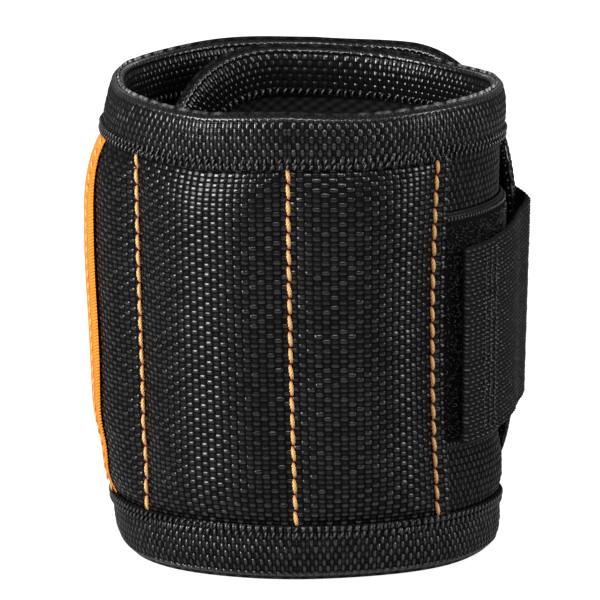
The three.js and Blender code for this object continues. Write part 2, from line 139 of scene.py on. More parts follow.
# %% Places along the strip, and the heights of its layers
HEM = 2.4 * MM
RIGHT_SEAM = -28.6 * MM
MIDDLE_SEAM = 0.0
LEFT_SEAM = 33 * MM
LEFT_CHANNEL = 46.9 * MM
BACK_CHANNEL = 27 * MM
BACK_SEAM = LEFT_SEAM + LEFT_CHANNEL
MID_BACK_SEAM = BACK_SEAM + BACK_CHANNEL
END_SEAM = MID_BACK_SEAM + BACK_CHANNEL
SEAMS = RIGHT_SEAM, MIDDLE_SEAM, LEFT_SEAM, BACK_SEAM, MID_BACK_SEAM, END_SEAM
PANEL_START = RIGHT_SEAM - HEM
PANEL_END = END_SEAM + HEM
FLANK_LENGTH = 36.7 * MM
TONGUE_LENGTH = 37 * MM
TIP_LENGTH = 6.5 * MM  # as far as its rounded corners
TONGUE_FOLD = PANEL_START - FLANK_LENGTH
TIP_FOLD = TONGUE_FOLD - TONGUE_LENGTH
CORNER = 32 * MM
OUTER_END = END_SEAM + HEM + CORNER
TONGUE_END = TIP_FOLD - TIP_LENGTH - CORNER

LAYER_GAP = 0.3 * MM
CLOTH = 0.8 * MM
LINING = 0.6 * MM
TAPE = 0.55 * MM
TAPE_ROOM = 0.6 * MM  # the tape's thickness with some air
COVER_FACE = LAYER_GAP / 2 + CLOTH
LINING_FACE = -LAYER_GAP / 2 - LINING
TAPE_FACE = COVER_FACE + LAYER_GAP + TAPE_ROOM
TAPE_INNER_FACE = LINING_FACE - LAYER_GAP - TAPE_ROOM
TAPE_OUTSIDE = 10.5 * MM
TAPE_INSIDE = 9.5 * MM
PAD_LOW = TAPE_OUTSIDE + LAYER_GAP
PAD_HIGH = BAND_HEIGHT - PAD_LOW
TUCK = 2.4 * MM  # cloth runs on this far under the tape
HINGE_LIFT = TAPE_FACE + FLARE

seam_places = [round(seam / MM, 1) for seam in SEAMS]
print(f"flat strip: {(OUTER_END - TONGUE_END) / MM:.1f} mm long, seams at {seam_places} mm")

# %% [markdown]
# ## Softness of the whole band
# Sewn cloth is never a true cylinder. In the photo the rows lean, the lower left side draws in, and the
# rims wave a little. A lattice or a sculpt could do this, but then stitches and tape would drift off the
# cloth. So the softness is part of the function that places points, and all layers share it.

# %% How far the cloth leans, bows and waves
SLIP = 0.8 * MM  # the front has slipped round to the right by this much
SLIP_SPAN = -100 * MM, -70 * MM
LEAN = 1.9 * MM  # the middle and left rows lean over their height
LEAN_SPAN = -20 * MM, 0
SETTLED_SPAN = 45 * MM, 80 * MM  # slip and lean end on the left side
RIGHT_LEAN = 1.0 * MM
BOW = 2.4 * MM  # the right row bows towards the middle,
BOW_SHIFT = 0.35  # and its two ends lie this share of the bow on the other side
ROW_REACH = 20 * MM
UPPER_TAPER = 0.8 * MM  # the left side narrows downwards, first a little,
UPPER_TAPER_SPAN = -60 * MM, -34 * MM
LOWER_TAPER = 1.4 * MM  # then at a soft dent above the lower tape
LOWER_TAPER_SPAN = -28 * MM, -16 * MM
TAPE_BULGE = 1.0 * MM  # which stands out of it
TAPE_BULGE_PLACE = 13 * MM, 9 * MM  # height of its middle, and reach
PINCH = 1.9 * MM  # its upper rim is pinched in
PINCH_SPAN = 76 * MM, 88 * MM
RIM_STATIONS = np.array([-150, -112, -90, -70, -45, 0, 16, 34, 56, 76, 95, 118, 140, 158]) * MM
RIM_RISES = np.array([1.1, 1.1, 0, -0.6, 0, 0, -0.9, 0, 0.9, 0, 0.5, 1.0, 0, -0.8]) * MM
RISE_SPAN = 58 * MM, 82 * MM  # the upper rim waves, and the cloth below it a little
FOOT_LIFT = 0.5 * MM  # the lower rim is drawn up a little,
SIDE_LIFT = 0.5 * MM  # and more at both sides
MIDDLE_BOW = 0.45 * MM
FLANK_BULGE = 1.4 * MM  # the right side swells out below the strap
FLANK_RISE_SPAN = 8 * MM, 14 * MM
FLANK_FALL_SPAN = 16 * MM, 26 * MM
END_PUFF = 1.1 * MM  # the free outer end stands off
END_PUFF_SPAN = 125 * MM, 155 * MM
TONGUE_STRETCH = 7 * MM
STRETCH_SPAN = 88 * MM, 118 * MM
RIM_WAVE = 0.3 * MM
LONG_WAVE = 11 * MM
SHORT_WAVE = 5.3 * MM
SHORT_WAVE_SHARE = 0.6
LEFT_SIDE = 54 * MM
RIGHT_SIDE = -56 * MM
SIDE_REACH = 36 * MM
print(f"upper rim: from {RIM_RISES.min() / MM:.1f} to {RIM_RISES.max() / MM:.1f} mm")


# %% The soft strip
def row_bow(station, height):
    """How far the cloth about the right and middle rows is drawn to the left."""
    share = height / BAND_HEIGHT
    waist = 1 - (2 * share - 1) ** 2
    right = hump(station, RIGHT_SEAM, ROW_REACH) * (BOW * (waist - BOW_SHIFT) + RIGHT_LEAN * (share - 1))
    return right + MIDDLE_BOW * hump(station, MIDDLE_SEAM, ROW_REACH) * waist


def end_puff(station):
    return END_PUFF * ease(station, *END_PUFF_SPAN)


def relaxed(station, lift, height):
    """The strip's coordinates with the cloth's own softness added."""
    share = height / BAND_HEIGHT
    rim = np.abs(2 * share - 1) ** 6
    left = hump(station, LEFT_SIDE, SIDE_REACH)
    right = hump(station, RIGHT_SIDE, SIDE_REACH)
    settled = 1 - ease(station, *SETTLED_SPAN)
    leaning = ease(station, *LEAN_SPAN) * settled
    slip = SLIP * ease(station, *SLIP_SPAN) * settled
    stretch = TONGUE_STRETCH * ease(-station, *STRETCH_SPAN)
    narrow = UPPER_TAPER * ease(-height, *UPPER_TAPER_SPAN) + LOWER_TAPER * ease(-height, *LOWER_TAPER_SPAN)
    narrow = narrow - TAPE_BULGE * hump(height, *TAPE_BULGE_PLACE) + PINCH * ease(height, *PINCH_SPAN)
    wave = np.sin(station / LONG_WAVE) + SHORT_WAVE_SHARE * np.sin(station / SHORT_WAVE + 1)
    rise = np.interp(station, RIM_STATIONS, RIM_RISES) * ease(height, *RISE_SPAN)
    raised = (FOOT_LIFT + SIDE_LIFT * (left + right)) * np.clip(1 - share, 0, 1) ** 8
    bulge = FLANK_BULGE * right * ease(height, *FLANK_RISE_SPAN) * (1 - ease(height, *FLANK_FALL_SPAN))
    return (
        station + LEAN * (share - 0.5) * leaning + row_bow(station, height) - slip - stretch,
        lift - left * narrow + bulge + RIM_WAVE * rim * wave + end_puff(station),
        height + rise + raised + RIM_WAVE * rim * wave * (share > 0.5),
    )


print(f"right row at mid height: {row_bow(RIGHT_SEAM, BAND_HEIGHT / 2) / MM:.2f} mm to the left")


# %% From the soft strip to points in the frame
def on_wrap(angle, lift, height):
    """Points of the true wrap, about its own middle."""
    radius = wrap_radius(angle) + lift + FLARE * (2 * height / BAND_HEIGHT - 1)
    turned = angle + SEAM_TURN
    return np.stack([-radius * np.sin(turned), -radius * np.cos(turned), height], axis=-1)


HINGE = np.array(JOINTS["left_fold"]["pos_m"])
WRAP_MIDDLE = (HINGE - on_wrap(angle_at(LEFT_SEAM), HINGE_LIFT, HINGE[2])) * (1, 1, 0)


def place(station, lift, height):
    """Points in the frame for places on the soft strip."""
    station, lift, height = relaxed(*np.broadcast_arrays(station, lift, height))
    return WRAP_MIDDLE + on_wrap(angle_at(station), lift, height)


print("wrap middle at", np.round(WRAP_MIDDLE / MM, 2), "mm")

# %% [markdown]
# ## One piece of band for each fold
# The band opens at seven folds. A piece of cloth that crosses a fold has to bend with it, and a bend is
# shared by two bodies. So the band is cut half-way between folds, where both neighbours lie still, and
# each length is kept with its own fold and its two bodies. Normals are worked out from the surface
# itself, so no cut shows in the shading.

# %% Lengths of band
Length = namedtuple("Length", "name fold station start stop bodies")
FOLD_STATIONS = [TIP_FOLD, TONGUE_FOLD, PANEL_START, LEFT_SEAM, BACK_SEAM, MID_BACK_SEAM, END_SEAM]
FOLD_NAMES = ["tip_fold", "tongue_fold", "right_fold", "left_fold", "back_fold", "mid_back_fold", "end_fold"]
LENGTH_NAMES = ["tongue_tip", "tongue", "front_right", "front_left", "left_side", "back", "outer_end"]
BODY_ORDER = "tongue_tip tongue_root right_flank front left_flank back_inner back_outer outer_end".split()
FRONT_CUT = 2

cuts = [(here + ahead) / 2 for here, ahead in zip(FOLD_STATIONS, FOLD_STATIONS[1:])]
cuts[FRONT_CUT] = MIDDLE_SEAM
cuts = [TONGUE_END, *cuts, OUTER_END]
LENGTHS = [
    Length(LENGTH_NAMES[i], FOLD_NAMES[i], FOLD_STATIONS[i], cuts[i], cuts[i + 1], BODY_ORDER[i:i + 2])
    for i in range(len(FOLD_STATIONS))
]


def bend(piece, length):
    """Works out where the length's fold lies, and bakes the piece's place into its mesh."""
    middle = BAND_HEIGHT / 2
    centre = place(length.station, 0, middle)
    ahead = place(length.station + MM, 0, middle) - place(length.station - MM, 0, middle)
    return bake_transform(piece)


def stand_for(length, layer):
    """The piece hides the solids of this layer on the two bodies of its length."""
    names = [f"{body}_{layer}" for body in length.bodies]
    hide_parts(*[name for name in names if name in frame["nodes"]])


for length in LENGTHS:
    print(f"{length.name}: {length.start / MM:.1f} to {length.stop / MM:.1f} mm, bends at {length.fold}")

# %% [markdown]
# ## Closed layers of cloth
# Cloth has a face, a back and edges. A plane with a Solidify modifier would give all three, but a face
# fine enough to carry every yarn would have a back just as fine that nobody sees. This helper draws a
# fine face and a coarse back from the same function and sews the two borders together, so each layer is a
# closed mesh with few wasted faces.

# %% Faces of a grid, and a seam between two borders
def grid_faces(rows, columns, first):
    at = first + np.arange(rows * columns).reshape(rows, columns)
    return np.stack([at[:-1, :-1], at[:-1, 1:], at[1:, 1:], at[1:, :-1]], axis=-1).reshape(-1, 4)


def sew(fine, coarse, fine_at, coarse_at):
    """Triangles between two borders that run side by side."""
    triangles = []
    i = j = 0
    while i < len(fine) - 1 or j < len(coarse) - 1:
        along_fine = j == len(coarse) - 1 or (i < len(fine) - 1 and fine_at[i + 1] <= coarse_at[j + 1])
        if along_fine:
            triangles.append((fine[i], fine[i + 1], coarse[j]))
            i += 1
        else:
            triangles.append((fine[i], coarse[j + 1], coarse[j]))
            j += 1
    return triangles


def sewn_borders(fine, coarse, us, vs, coarse_us, coarse_vs):
    """The four edges of a layer: fine and coarse are its grids of vertex numbers."""
    back_u, back_v = -us[::-1], -vs[::-1]
    back_cu, back_cv = -coarse_us[::-1], -coarse_vs[::-1]
    return [
        *sew(fine[0, ::-1], coarse[0, ::-1], back_v, back_cv),
        *sew(fine[-1], coarse[-1], vs, coarse_vs),
        *sew(fine[:, 0], coarse[:, 0], us, coarse_us),
        *sew(fine[::-1, -1], coarse[::-1, -1], back_u, back_cu),
    ]


print("a grid of 3 by 4 points has", len(grid_faces(3, 4, 0)), "faces")

# %% Points and normals of a layer, and the object that holds them
NORMAL_STEP = 0.04 * MM
NOT_ZERO = 1e-12


def surface(layer, us, vs, depth):
    """Points, normals and yarn relief of a layer at a depth under its face."""
    u, v = np.meshgrid(us, vs, indexing="ij")

    def points(shift_u, shift_v):
        station, lift, height, _ = layer(u + shift_u, v + shift_v, depth)
        return place(station, lift, height)

    ahead = points(NORMAL_STEP, 0) - points(-NORMAL_STEP, 0)
    up = points(0, NORMAL_STEP) - points(0, -NORMAL_STEP)
    normals = np.cross(up, ahead)
    normals /= np.maximum(np.linalg.norm(normals, axis=-1, keepdims=True), NOT_ZERO)
    relief = np.broadcast_to(layer(u, v, depth)[3], u.shape)
    flat = np.stack([u, v], -1).reshape(-1, 2)
    return points(0, 0).reshape(-1, 3), normals.reshape(-1, 3), relief.ravel(), flat


def linked(name, data):
    """A new object in the scene, for a mesh, a lamp or a camera."""
    made = bpy.data.objects.new(name, data)
    SCENE.collection.objects.link(made)
    return made


def finish_mesh(name, points, faces, normals=None, relief=None, flat=None):
    """A linked object at the origin, smooth, with its flat map and yarn relief where given."""
    mesh = bpy.data.meshes.new(name)
    mesh.from_pydata(np.asarray(points).tolist(), [], faces, shade_flat=False)
    if flat is not None:
        corners = np.empty(len(mesh.loops), np.int32)
        mesh.loops.foreach_get("vertex_index", corners)
        flat_map = mesh.uv_layers.new(name="flat")
        flat_map.uv.foreach_set("vector", np.asarray(flat, np.float32)[corners].ravel())
    if relief is not None:
        yarns = mesh.attributes.new("relief", "FLOAT", "POINT")
        yarns.data.foreach_set("value", relief.astype(np.float32))
    if normals is not None:
        mesh.normals_split_custom_set_from_vertices(normals.tolist())
    return linked(name, mesh)


# %% A closed piece of cloth
SLIVER = 0.3  # a step at the border is at least this share of a whole one


def thinned(values, step):
    return np.unique(np.append(values[::step], values[-1]))


def cloth_piece(name, layer, us, vs, thickness, back_step=5, inside_out=False):
    """A closed piece of cloth. layer(u, v, depth) gives its station, lift, height and relief."""
    coarse_us, coarse_vs = thinned(us, back_step), thinned(vs, back_step)
    points, normals, relief, flat = surface(layer, us, vs, 0)
    back_points, back_normals, back_relief, back_flat = surface(layer, coarse_us, coarse_vs, thickness)
    faces = grid_faces(len(us), len(vs), 0)
    back_faces = grid_faces(len(coarse_us), len(coarse_vs), len(points))[:, ::-1]
    fine = np.arange(len(points)).reshape(len(us), len(vs))
    coarse = len(points) + np.arange(len(back_points)).reshape(len(coarse_us), len(coarse_vs))
    borders = np.array(sewn_borders(fine, coarse, us, vs, coarse_us, coarse_vs))
    everything = [*faces.tolist(), *back_faces.tolist(), *borders.tolist()]
    turn = -1 if inside_out else 1
    return finish_mesh(
        name,
        np.concatenate([points, back_points]),
        [face[::turn] for face in everything],
        turn * np.concatenate([normals, -back_normals]),
        np.concatenate([relief, back_relief]),
        np.concatenate([flat, back_flat]),
    )


def steps(start, stop, size):
    """Even steps of about this size."""
    return np.linspace(start, stop, max(2, round((stop - start) / size) + 1))


def yarn_steps(start, stop, size):
    """Whole multiples of a size, and the two ends, so that each yarn is sampled alike."""
    whole = size * np.arange(math.floor(start / size) + 1, math.ceil(stop / size))
    inner = whole[(whole > start + SLIVER * size) & (whole < stop - SLIVER * size)]
    return np.concatenate([[start], inner, [stop]])


print("places for 1 mm yarns on 10 mm:", len(yarn_steps(0, 10 * MM, MM)))

# %% [markdown]
# ## Weaves
# Coarse nylon shows its weave from a step away: short bright floats in staggered rows. A bump map fakes
# that, but it leaves the outline smooth and loses the small shadows between yarns. At this size the yarns
# can be real relief. In a plain weave each cell has either the weft or the warp on top, like the fields
# of a chessboard.

# %% Relief of a plain weave
UNEVEN = 0.3  # some yarns lie lower than others
FLOAT_NARROWING = 1.9  # at 2 a float would end at the border of its cell
FLOAT_DIP = 0.7
SCRAMBLE = 43758.5453
COLUMN_TURN, ROW_TURN = 12.9898, 78.233


def float_shape(along, across):
    """A float is round across and nearly flat along, and dips under at both ends."""
    return np.sqrt(np.clip(1 - (FLOAT_NARROWING * across) ** 2, 0, 1)) * (1 - FLOAT_DIP * (2 * along) ** 4)


def chance(column, row):
    """A number from 0 to 1 that looks random, and is the same in every run."""
    return np.mod(SCRAMBLE * np.sin(COLUMN_TURN * column + ROW_TURN * row), 1)


def plain_weave(along, across, warp, weft, warp_top=1.0, weft_top=1.0):
    """Relief from 0 to 1 of yarns in cells warp wide and weft high. The tops scale the two kinds."""
    column, row = np.floor(along / warp), np.floor(across / weft)
    x, y = along / warp - column - 0.5, across / weft - row - 0.5
    floats = np.where((column + row) % 2 == 0, weft_top * float_shape(x, y), warp_top * float_shape(y, x))
    return floats * (1 - UNEVEN * chance(column, row))


swatch = plain_weave(*np.meshgrid(np.linspace(0, 8, 81), np.linspace(0, 8, 81)), 1, 1)
print(f"weave: mean relief {swatch.mean():.2f}, highest {swatch.max():.2f}")

# %% [markdown]
# ## Shader expressions
# A finish is a small tree of nodes. Wiring each Math node by hand hides the idea, so one class wraps a
# socket and lets ordinary Python expressions add the nodes.

# %% Sockets as values
class Value:
    """A socket that takes part in expressions."""

    def __init__(self, tree, socket):
        self.tree, self.socket = tree, socket

    def math(self, operation, *others):
        values = dict(enumerate((self, *others)))
        return self.tree.node("ShaderNodeMath", {"operation": operation}, values)["Value"]

    def __add__(self, other):
        return self.math("ADD", other)

    def __sub__(self, other):
        return self.math("SUBTRACT", other)

    def __rsub__(self, other):
        return self.math("MULTIPLY", -1) + other

    def __mul__(self, other):
        return self.math("MULTIPLY", other)

    __radd__ = __add__
    __rmul__ = __mul__


print("a socket value has", [name for name, made in vars(Value).items() if callable(made)])


# %% Trees and finishes
class Tree:
    """A node tree, with one method that adds any node: its kind, its settings, then its sockets."""

    def __init__(self, nodes):
        self.nodes = nodes

    def node(self, kind, settings=None, sockets=None):
        made = self.nodes.nodes.new(kind)
        for key, value in (settings or {}).items():
            setattr(made, key, value)
        for key, value in (sockets or {}).items():
            found = made.inputs[key] if isinstance(key, int) else self.named(made, key)
            if isinstance(value, Value):
                self.nodes.links.new(value.socket, found)
            else:
                found.default_value = value
        return {socket.name: Value(self, socket) for socket in made.outputs if socket.enabled}

    @staticmethod
    def named(made, name):
        return next(socket for socket in made.inputs if socket.name == name and socket.enabled)


class Finish(Tree):
    """A material whose shader sockets are set by name."""

    def __init__(self, name, **constants):
        self.material = bpy.data.materials.new(name)
        self.material.use_nodes = True
        super().__init__(self.material.node_tree)
        self.shader = self.nodes.nodes["Principled BSDF"]
        for key, value in constants.items():
            self.shader.inputs[key.replace("_", " ")].default_value = value
        self.object_places = self.node("ShaderNodeTexCoord")["Object"]

    def drive(self, name, value):
        self.nodes.links.new(value.socket, self.shader.inputs[name])

    def attribute(self, name):
        return self.node("ShaderNodeAttribute", {"attribute_name": name})["Fac"]

    def flat(self):
        """The flat map's two coordinates, in metres."""
        vector = self.node("ShaderNodeUVMap", {"uv_map": "flat"})["UV"]
        parts = self.node("ShaderNodeSeparateXYZ", None, {"Vector": vector})
        return parts["X"], parts["Y"]

    def noise(self, size, detail=2.0):
        """Cloudy variation, from 0 to 1, with features of about this size."""
        sockets = {"Vector": self.object_places, "Scale": 1 / size, "Detail": detail}
        return self.node("ShaderNodeTexNoise", None, sockets)["Fac"]

    def blend(self, share, first, second):
        """A colour between two, by a share from 0 to 1."""
        sockets = {"Factor": share, "A": (*first, 1), "B": (*second, 1)}
        return self.node("ShaderNodeMix", {"data_type": "RGBA", "clamp_factor": True}, sockets)["Result"]

    def bump(self, height, depth):
        sockets = {"Height": height, "Distance": depth, "Strength": 1.0}
        self.drive("Normal", self.node("ShaderNodeBump", None, sockets)["Normal"])


print("helpers for nodes:", Tree.__name__, "and", Finish.__name__)

# %% [markdown]
# ## Black cloths
# All the black cloths are nylon or polyester, yet they look different: the panel's yarns are thick and
# glossy, the tape is duller, the patch swallows light. They share one recipe with different numbers: the
# yarn relief paints shade into the gaps and dulls them, a fine noise gives single fibres, and a wide one
# the uneven handling of cloth.

# %% Woven finishes
FIBRE = 0.16 * MM
HANDLING = 14 * MM
FIBRE_DEPTH = 0.02 * MM
# the relief weight and the gap share paint shade into the colour: low relief between yarns is darkened
# towards a quarter of the yarn's colour
RELIEF_PAINTED_SHADE, FIBRE_SHADE, HANDLING_SHADE, DARK_SHADE = 0.8, 0.4, 0.3, 0.35
GAP_PAINTED_SHADE = 0.25
GAP_ROUGHNESS, FIBRE_ROUGHNESS = 0.2, 0.16
SHINING_TOPS = 0.3, 0.85  # relief at which the shine begins, and where it is full
LEAST_SHINE, FIBRE_SHINE, HANDLING_SHINE = 0.45, 0.7, 0.4


def woven_finish(name, yarn, rough, shine, gloss, clear=1.6):
    """A black cloth: painted shade darkens the gaps, which stay dull, and only the yarn tops carry a clear
    shine.
    """
    finish = Finish(name, Specular_IOR_Level=0.04, Coat_Roughness=gloss, Coat_IOR=clear)
    relief = finish.attribute("relief")
    fibres, handling = finish.noise(FIBRE), finish.noise(HANDLING, 3)
    # painted shade: the gaps between yarns are darkened in the base colour
    shade = relief * RELIEF_PAINTED_SHADE + fibres * FIBRE_SHADE + handling * HANDLING_SHADE - DARK_SHADE
    painted_gap_shade = [GAP_PAINTED_SHADE * channel for channel in yarn]
    finish.drive("Base Color", finish.blend(shade, painted_gap_shade, yarn))
    finish.drive("Roughness", rough + GAP_ROUGHNESS * (1 - relief) + FIBRE_ROUGHNESS * (fibres - 0.5))
    tops = {"Value": relief, "From Min": SHINING_TOPS[0], "From Max": SHINING_TOPS[1]}
    top = finish.node("ShaderNodeMapRange", None, tops)["Result"]
    lively = LEAST_SHINE + FIBRE_SHINE * fibres + HANDLING_SHINE * (handling - 0.5)
    finish.drive("Coat Weight", shine * top * lively)
    finish.bump(fibres, FIBRE_DEPTH)
    return finish.material


# the name, the yarn's colour, then how rough it is, how much it shines,
# how blurred the shine is and how strong
NYLON = woven_finish("ballistic nylon", (0.005, 0.005, 0.0054), 0.5, 1.0, 0.15, 1.68)
OXFORD = woven_finish("oxford cloth", (0.005, 0.005, 0.0053), 0.6, 0.7, 0.2)
TAPE_FINISH = woven_finish("edge tape", (0.006, 0.006, 0.0064), 0.55, 1.0, 0.18, 1.8)
WEBBING = woven_finish("strap webbing", (0.032, 0.032, 0.033), 0.65, 1.0, 0.22, 1.85)
# painted light and shade: the loops get a lighter yarn than the ground of the patch, which stays darker
PILE = woven_finish("loop pile", (0.055, 0.055, 0.057), 0.9, 1.0, 0.3, 1.8)
PILE_GROUND = woven_finish("pile ground", (0.014, 0.014, 0.0145), 0.9, 0.6, 0.35)
HOOKS = woven_finish("hook tape", (0.01, 0.01, 0.011), 0.6, 0.5, 0.3)
BLACK_THREAD = woven_finish("black thread", (0.06, 0.06, 0.062), 0.5, 1.0, 0.22, 1.9)
BLACK_CLOTHS = NYLON, OXFORD, TAPE_FINISH, WEBBING, PILE, PILE_GROUND, HOOKS, BLACK_THREAD
print("woven finishes:", [cloth.name for cloth in BLACK_CLOTHS])

# %% [markdown]
# ## Orange cloth, thread, lining and the hidden parts
# The orange strip is a fine twill, the thread is lighter and more golden, and the lining is an open mesh.
# Photographs could be wrapped on as image textures, but a few nodes on the flat map give ridges and cells
# that are sharp from any distance. Foam and plated magnets are hidden inside, and get plain finishes so
# that a cut model still looks right.

# %% Orange twill and orange thread
TWILL = 0.62 * MM
TWILL_DEPTH = 0.12 * MM
TWILL_SLANT = 0.6
TWILL_SHADED_TONE, TWILL_LIT_TONE = (0.66, 0.13, 0.007), (0.92, 0.37, 0.045)
# painted shade and painted light: the thread's colour runs from a shaded tone in ply valleys and at stitch
# ends to a lit tone on the crests
THREAD_SHADED_TONE, THREAD_LIT_TONE = (0.45, 0.07, 0.005), (1.0, 0.7, 0.24)
THREAD_CLOUD = 0.5 * MM


def accent_finish():
    """Orange twill: fine slanting ridges, with shade painted a little darker between them."""
    finish = Finish("accent twill", Roughness=0.6, Specular_IOR_Level=0.15)
    along, across = finish.flat()
    ridges = ((along * TWILL_SLANT + across) * (FULL_TURN / TWILL)).math("SINE") * 0.5 + 0.5
    cloud = finish.noise(HANDLING, 3)
    # painted shade between the ridges, with random cloud and fibres
    shade = ridges * 0.55 + cloud * 0.5 + finish.noise(FIBRE) * 0.2 - 0.1
    finish.drive("Base Color", finish.blend(shade, TWILL_SHADED_TONE, TWILL_LIT_TONE))
    finish.drive("Roughness", 0.72 - 0.18 * ridges)
    finish.bump(ridges, TWILL_DEPTH)
    return finish.material


def thread_finish():
    """Gold-orange thread: plies are shaped; their relief paints shade between plies and at the ends, and a
    bump adds fibres.
    """
    finish = Finish("orange thread", Roughness=0.5, Specular_IOR_Level=0.5, Sheen_Weight=0.2)
    relief = finish.attribute("relief")
    # painted shade from the plies' relief, with a little random cloud
    shade = relief * 1.5 + finish.noise(THREAD_CLOUD) * 0.3 - 0.35
    finish.drive("Base Color", finish.blend(shade, THREAD_SHADED_TONE, THREAD_LIT_TONE))
    finish.bump(finish.noise(FIBRE), FIBRE_DEPTH)
    return finish.material


ACCENT, ORANGE_THREAD = accent_finish(), thread_finish()
print("orange finishes:", ACCENT.name, "and", ORANGE_THREAD.name)

# %% Lining, foam and nickel
MESH_CELL = 2.2 * MM
SOFT_DEPTH = 0.3 * MM
FOAM_PORE = 0.9 * MM
RUBBED_PATCH = 4 * MM
MESH_SHADED_TONE, MESH_LIGHT = (0.002, 0.002, 0.002), (0.01, 0.01, 0.0105)
FOAM_DARK, FOAM_LIGHT = (0.02, 0.02, 0.021), (0.11, 0.11, 0.115)
NICKEL_DULL, NICKEL_BRIGHT = (0.5, 0.49, 0.47), (0.66, 0.65, 0.62)


def lining_finish():
    """Spacer mesh: rows of small open cells, staggered, with shade painted darker in the cells."""
    finish = Finish("lining mesh", Roughness=0.8, Specular_IOR_Level=0.1)
    along, across = finish.flat()
    turn = FULL_TURN / MESH_CELL
    cells = ((along * turn).math("SINE") * (across * turn).math("SINE")) * 0.5 + 0.5
    # painted shade in the low open cells, with fibres
    shade = cells * 0.8 + finish.noise(FIBRE) * 0.4 - 0.1
    finish.drive("Base Color", finish.blend(shade, MESH_SHADED_TONE, MESH_LIGHT))
    finish.drive("Roughness", 0.9 - 0.2 * cells)
    finish.bump(cells, SOFT_DEPTH)
    return finish.material


def foam_finish():
    finish = Finish("pad foam", Roughness=0.95, Specular_IOR_Level=0.2)
    pores = finish.noise(FOAM_PORE, 4)
    finish.drive("Base Color", finish.blend(pores, FOAM_DARK, FOAM_LIGHT))
    finish.bump(pores, SOFT_DEPTH)
    return finish.material


def magnet_finish():
    """Nickel plate: bright metal with faint rubbed patches."""
    finish = Finish("nickel plate", Metallic=1.0)
    rubbed = finish.noise(RUBBED_PATCH, 3)
    finish.drive("Base Color", finish.blend(rubbed, NICKEL_DULL, NICKEL_BRIGHT))
    finish.drive("Roughness", 0.22 + 0.2 * rubbed)
    return finish.material


LINING_MESH, FOAM, NICKEL = lining_finish(), foam_finish(), magnet_finish()


def dress(piece, material):
    """Gives a piece its finish, in its only material slot."""
    piece.data.materials.clear()
    piece.data.materials.append(material)
    return piece


print("hidden finishes:", [material.name for material in (LINING_MESH, FOAM, NICKEL)])

# %% [markdown]
# ## Padded channels
# Each channel holds foam between two sewn rows, so the panel swells between them and is drawn in at every
# stitch. A formula gives the swell but not the small puckers. So a flat sheet, pinned at the stitch holes
# and along the tape, is blown up by Blender's cloth, and its heights are then laid over the wrap.

# %% The grid of the quilted sheet
CROWN = 2.2 * MM
SIM_STEP = 1.55 * MM  # two steps make one stitch


def quilt_grid():
    runs = [steps(here, ahead, SIM_STEP)[:-1] for here, ahead in zip(SEAMS, SEAMS[1:])]
    return np.append(np.concatenate(runs), SEAMS[-1]), steps(PAD_LOW, PAD_HIGH, SIM_STEP)


QUILT_COLUMNS, QUILT_ROWS = quilt_grid()
print("quilt:", len(QUILT_COLUMNS), "columns and", len(QUILT_ROWS), "rows")

# %% Cloth simulation of the quilted sheet
SIM_SCALE = 20  # cloth behaves best at about a metre
SIM_FRAMES = 24
SLACK = 0.02
FOAM_LIMIT = 2.7 * MM
CROWN_PERCENTILE = 70  # this much of the sheet lies below the crown


def simulated_swell(columns, rows):
    """Heights of a sheet that is pinned at its stitch holes and edges, and blown up."""
    x, y = np.meshgrid(columns, rows, indexing="ij")
    flat_points = SIM_SCALE * np.stack([x, y, np.zeros_like(x)], -1).reshape(-1, 3)
    faces = grid_faces(len(columns), len(rows), 0)[:, ::-1].tolist()
    quilt = finish_mesh("quilt", flat_points, faces)
    at_seam = np.isclose(x[..., None], SEAMS).any(-1)
    holes = at_seam & (np.arange(len(rows)) % 2 == 0)
    edges = np.isclose(y, PAD_LOW) | np.isclose(y, PAD_HIGH)
    sewn = quilt.vertex_groups.new(name="sewn")
    sewn.add(np.flatnonzero(holes | edges).tolist(), 1.0, "REPLACE")
    cloth = quilt.modifiers.new("cloth", "CLOTH")
    cloth.point_cache.frame_end = SIM_FRAMES
    cloth.settings.quality = 6
    cloth.settings.mass = 0.2
    cloth.settings.tension_stiffness = cloth.settings.compression_stiffness = 20
    cloth.settings.bending_stiffness = 12
    cloth.settings.air_damping = 4
    cloth.settings.vertex_group_mass = sewn.name
    cloth.settings.shrink_min = -SLACK
    cloth.settings.use_pressure = True
    cloth.settings.uniform_pressure_force = 12
    cloth.settings.effector_weights.gravity = 0
    for number in range(1, SIM_FRAMES + 1):
        SCENE.frame_set(number)
    blown = quilt.evaluated_get(bpy.context.evaluated_depsgraph_get()).data
    heights = np.empty(len(blown.vertices) * 3)
    blown.vertices.foreach_get("co", heights)
    SCENE.frame_set(1)
    bpy.data.objects.remove(quilt)
    swell = heights.reshape(*x.shape, 3)[..., 2]
    swell = np.maximum(swell, 0) * CROWN / np.percentile(swell, CROWN_PERCENTILE)
    return swell / (1 + (swell / FOAM_LIMIT) ** 4) ** 0.25


SWELL = simulated_swell(QUILT_COLUMNS, QUILT_ROWS)
print(f"swell: {SWELL.min() / MM:.2f} to {SWELL.max() / MM:.2f} mm")

# %% [markdown]
# The quilt's points are far coarser than the yarns that lie on it. Straight lines between them would show
# as facets in the shine. So the height at any place is read from smooth curves through the four nearest
# points in each direction.

# %% Reading the quilt between its points
def spline_weights(share):
    """Weights of four neighbours for a smooth curve through the middle two."""
    square, cube = share ** 2, share ** 3
    return (
        (-cube + 2 * square - share) / 2,
        (3 * cube - 5 * square + 2) / 2,
        (-3 * cube + 4 * square + share) / 2,
        (cube - square) / 2,
    )


def neighbours(value, ticks):
    """The four grid lines about a value, and their weights."""
    position = np.interp(value, ticks, np.arange(len(ticks)))
    first = np.clip(np.floor(position).astype(int), 0, len(ticks) - 2)
    near = [np.clip(first + k, 0, len(ticks) - 1) for k in (-1, 0, 1, 2)]
    return near, spline_weights(position - first)


